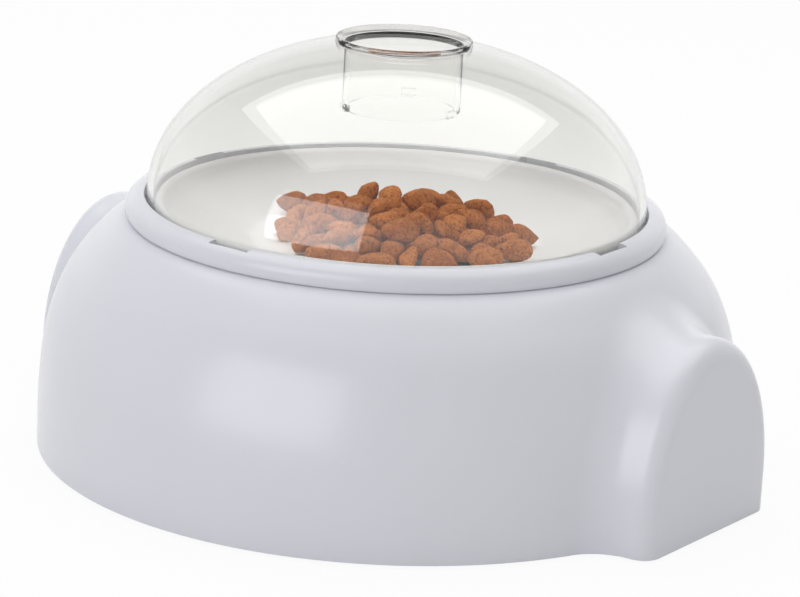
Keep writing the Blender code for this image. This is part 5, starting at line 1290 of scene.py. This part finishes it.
def stage_finish():
    """A white floor that keeps a soft shadow: mostly white to the camera, plain to other rays."""
    made, shader, shade = new_finish("stage_white", (0.86, 0.86, 0.86), 0.9)
    tree = shade.tree
    from_camera, glossy, through = seen_rays(shade)
    seen = (from_camera + glossy + through).clamp() * FLOOR_WHITE
    white = shade.make("ShaderNodeEmission", None, {"Color": (1, 1, 1, 1), "Strength": 1.0})
    solid = Shade(tree, shader.outputs["BSDF"])
    mixed = shade.make("ShaderNodeMixShader", None, {0: seen, 1: solid, 2: white})
    tree.links.new(mixed.socket, tree.nodes["Material Output"].inputs["Surface"])
    return made


floor_shape = bmesh.new()
bmesh.ops.create_grid(floor_shape, x_segments=1, y_segments=1, size=FLOOR_HALF)
floor_mesh = bpy.data.meshes.new("floor")
floor_shape.to_mesh(floor_mesh)
floor_shape.free()
floor_mesh.materials.append(stage_finish())
floor = bpy.data.objects.new("floor", floor_mesh)
bpy.context.scene.collection.objects.link(floor)
floor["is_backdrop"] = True

world = bpy.data.worlds.new("studio")
bpy.context.scene.world = world
world.use_nodes = True
sky = Shade(world.node_tree)
from_camera, glossy, through = seen_rays(sky)
direction = sky.make("ShaderNodeTexCoord", output="Generated")
upward = sky.make("ShaderNodeSeparateXYZ", None, {0: direction}, output="Z")
horizon = 1 - ((upward - HORIZON) * HORIZON_FADE).clamp()
studio = horizon * (1 - CEILING) + CEILING
seen = from_camera + (glossy + through).clamp() * studio
lit = 1 - (from_camera + glossy + through).clamp()
background = world.node_tree.nodes["Background"]
background.inputs["Color"].default_value = (1, 1, 1, 1)
sky.tree.links.new((seen + lit * AMBIENT).socket, background.inputs["Strength"])
print("floor and world ready")


# %% Lamps
MIDDLE = (0, 0, 0.08)
DISTANCE = 1.5
WHITE = (1, 1, 1)
COOL = (0.975, 0.98, 1.03)


def softbox(name, place, width, height, radiance, colour=WHITE, lights=True, shines=True):
    """A rectangular lamp aimed at the object, given by how bright its face is."""
    lamp = bpy.data.lights.new(name, "AREA")
    lamp.shape = "RECTANGLE"
    lamp.size = width
    lamp.size_y = height
    lamp.energy = radiance * math.pi * width * height
    lamp.color = colour
    made = bpy.data.objects.new(name, lamp)
    bpy.context.scene.collection.objects.link(made)
    made.location = place
    made.rotation_euler = (Vector(MIDDLE) - Vector(place)).to_track_quat("-Z", "Y").to_euler()
    made.visible_diffuse = lights
    made.visible_glossy = shines


def from_object(azimuth, height_angle):
    """A place in a direction from the object, with the azimuth counted as for the camera."""
    a, e = math.radians(azimuth), math.radians(height_angle)
    toward = Vector((math.sin(a) * math.cos(e), -math.cos(a) * math.cos(e), math.sin(e)))
    return toward * DISTANCE


softbox("key_softbox", from_object(0, 22), 1.10, 1.15, 0.95, COOL, shines=False)
softbox("side_fill", from_object(40, 20), 0.95, 0.60, 0.35, shines=False)
softbox("top_softbox", (-0.21, 0.28, 1.5), 2.2, 2.0, 1.62, shines=False)
softbox("key_shine", from_object(0, 14), 1.20, 1.30, 2.1, COOL, lights=False)
softbox("top_shine", (-0.179, 0.241, 1.5), 1.95, 1.70, 0.85, lights=False)
print("lamps ready")

# %% Sizes and finish
VISUAL_LOW, VISUAL_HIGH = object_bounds()
for label, low, high in (("solids", SOLID_LOW, SOLID_HIGH), ("dressed", VISUAL_LOW, VISUAL_HIGH)):
    print(label, [round(v, 4) for v in (*low, *high)])
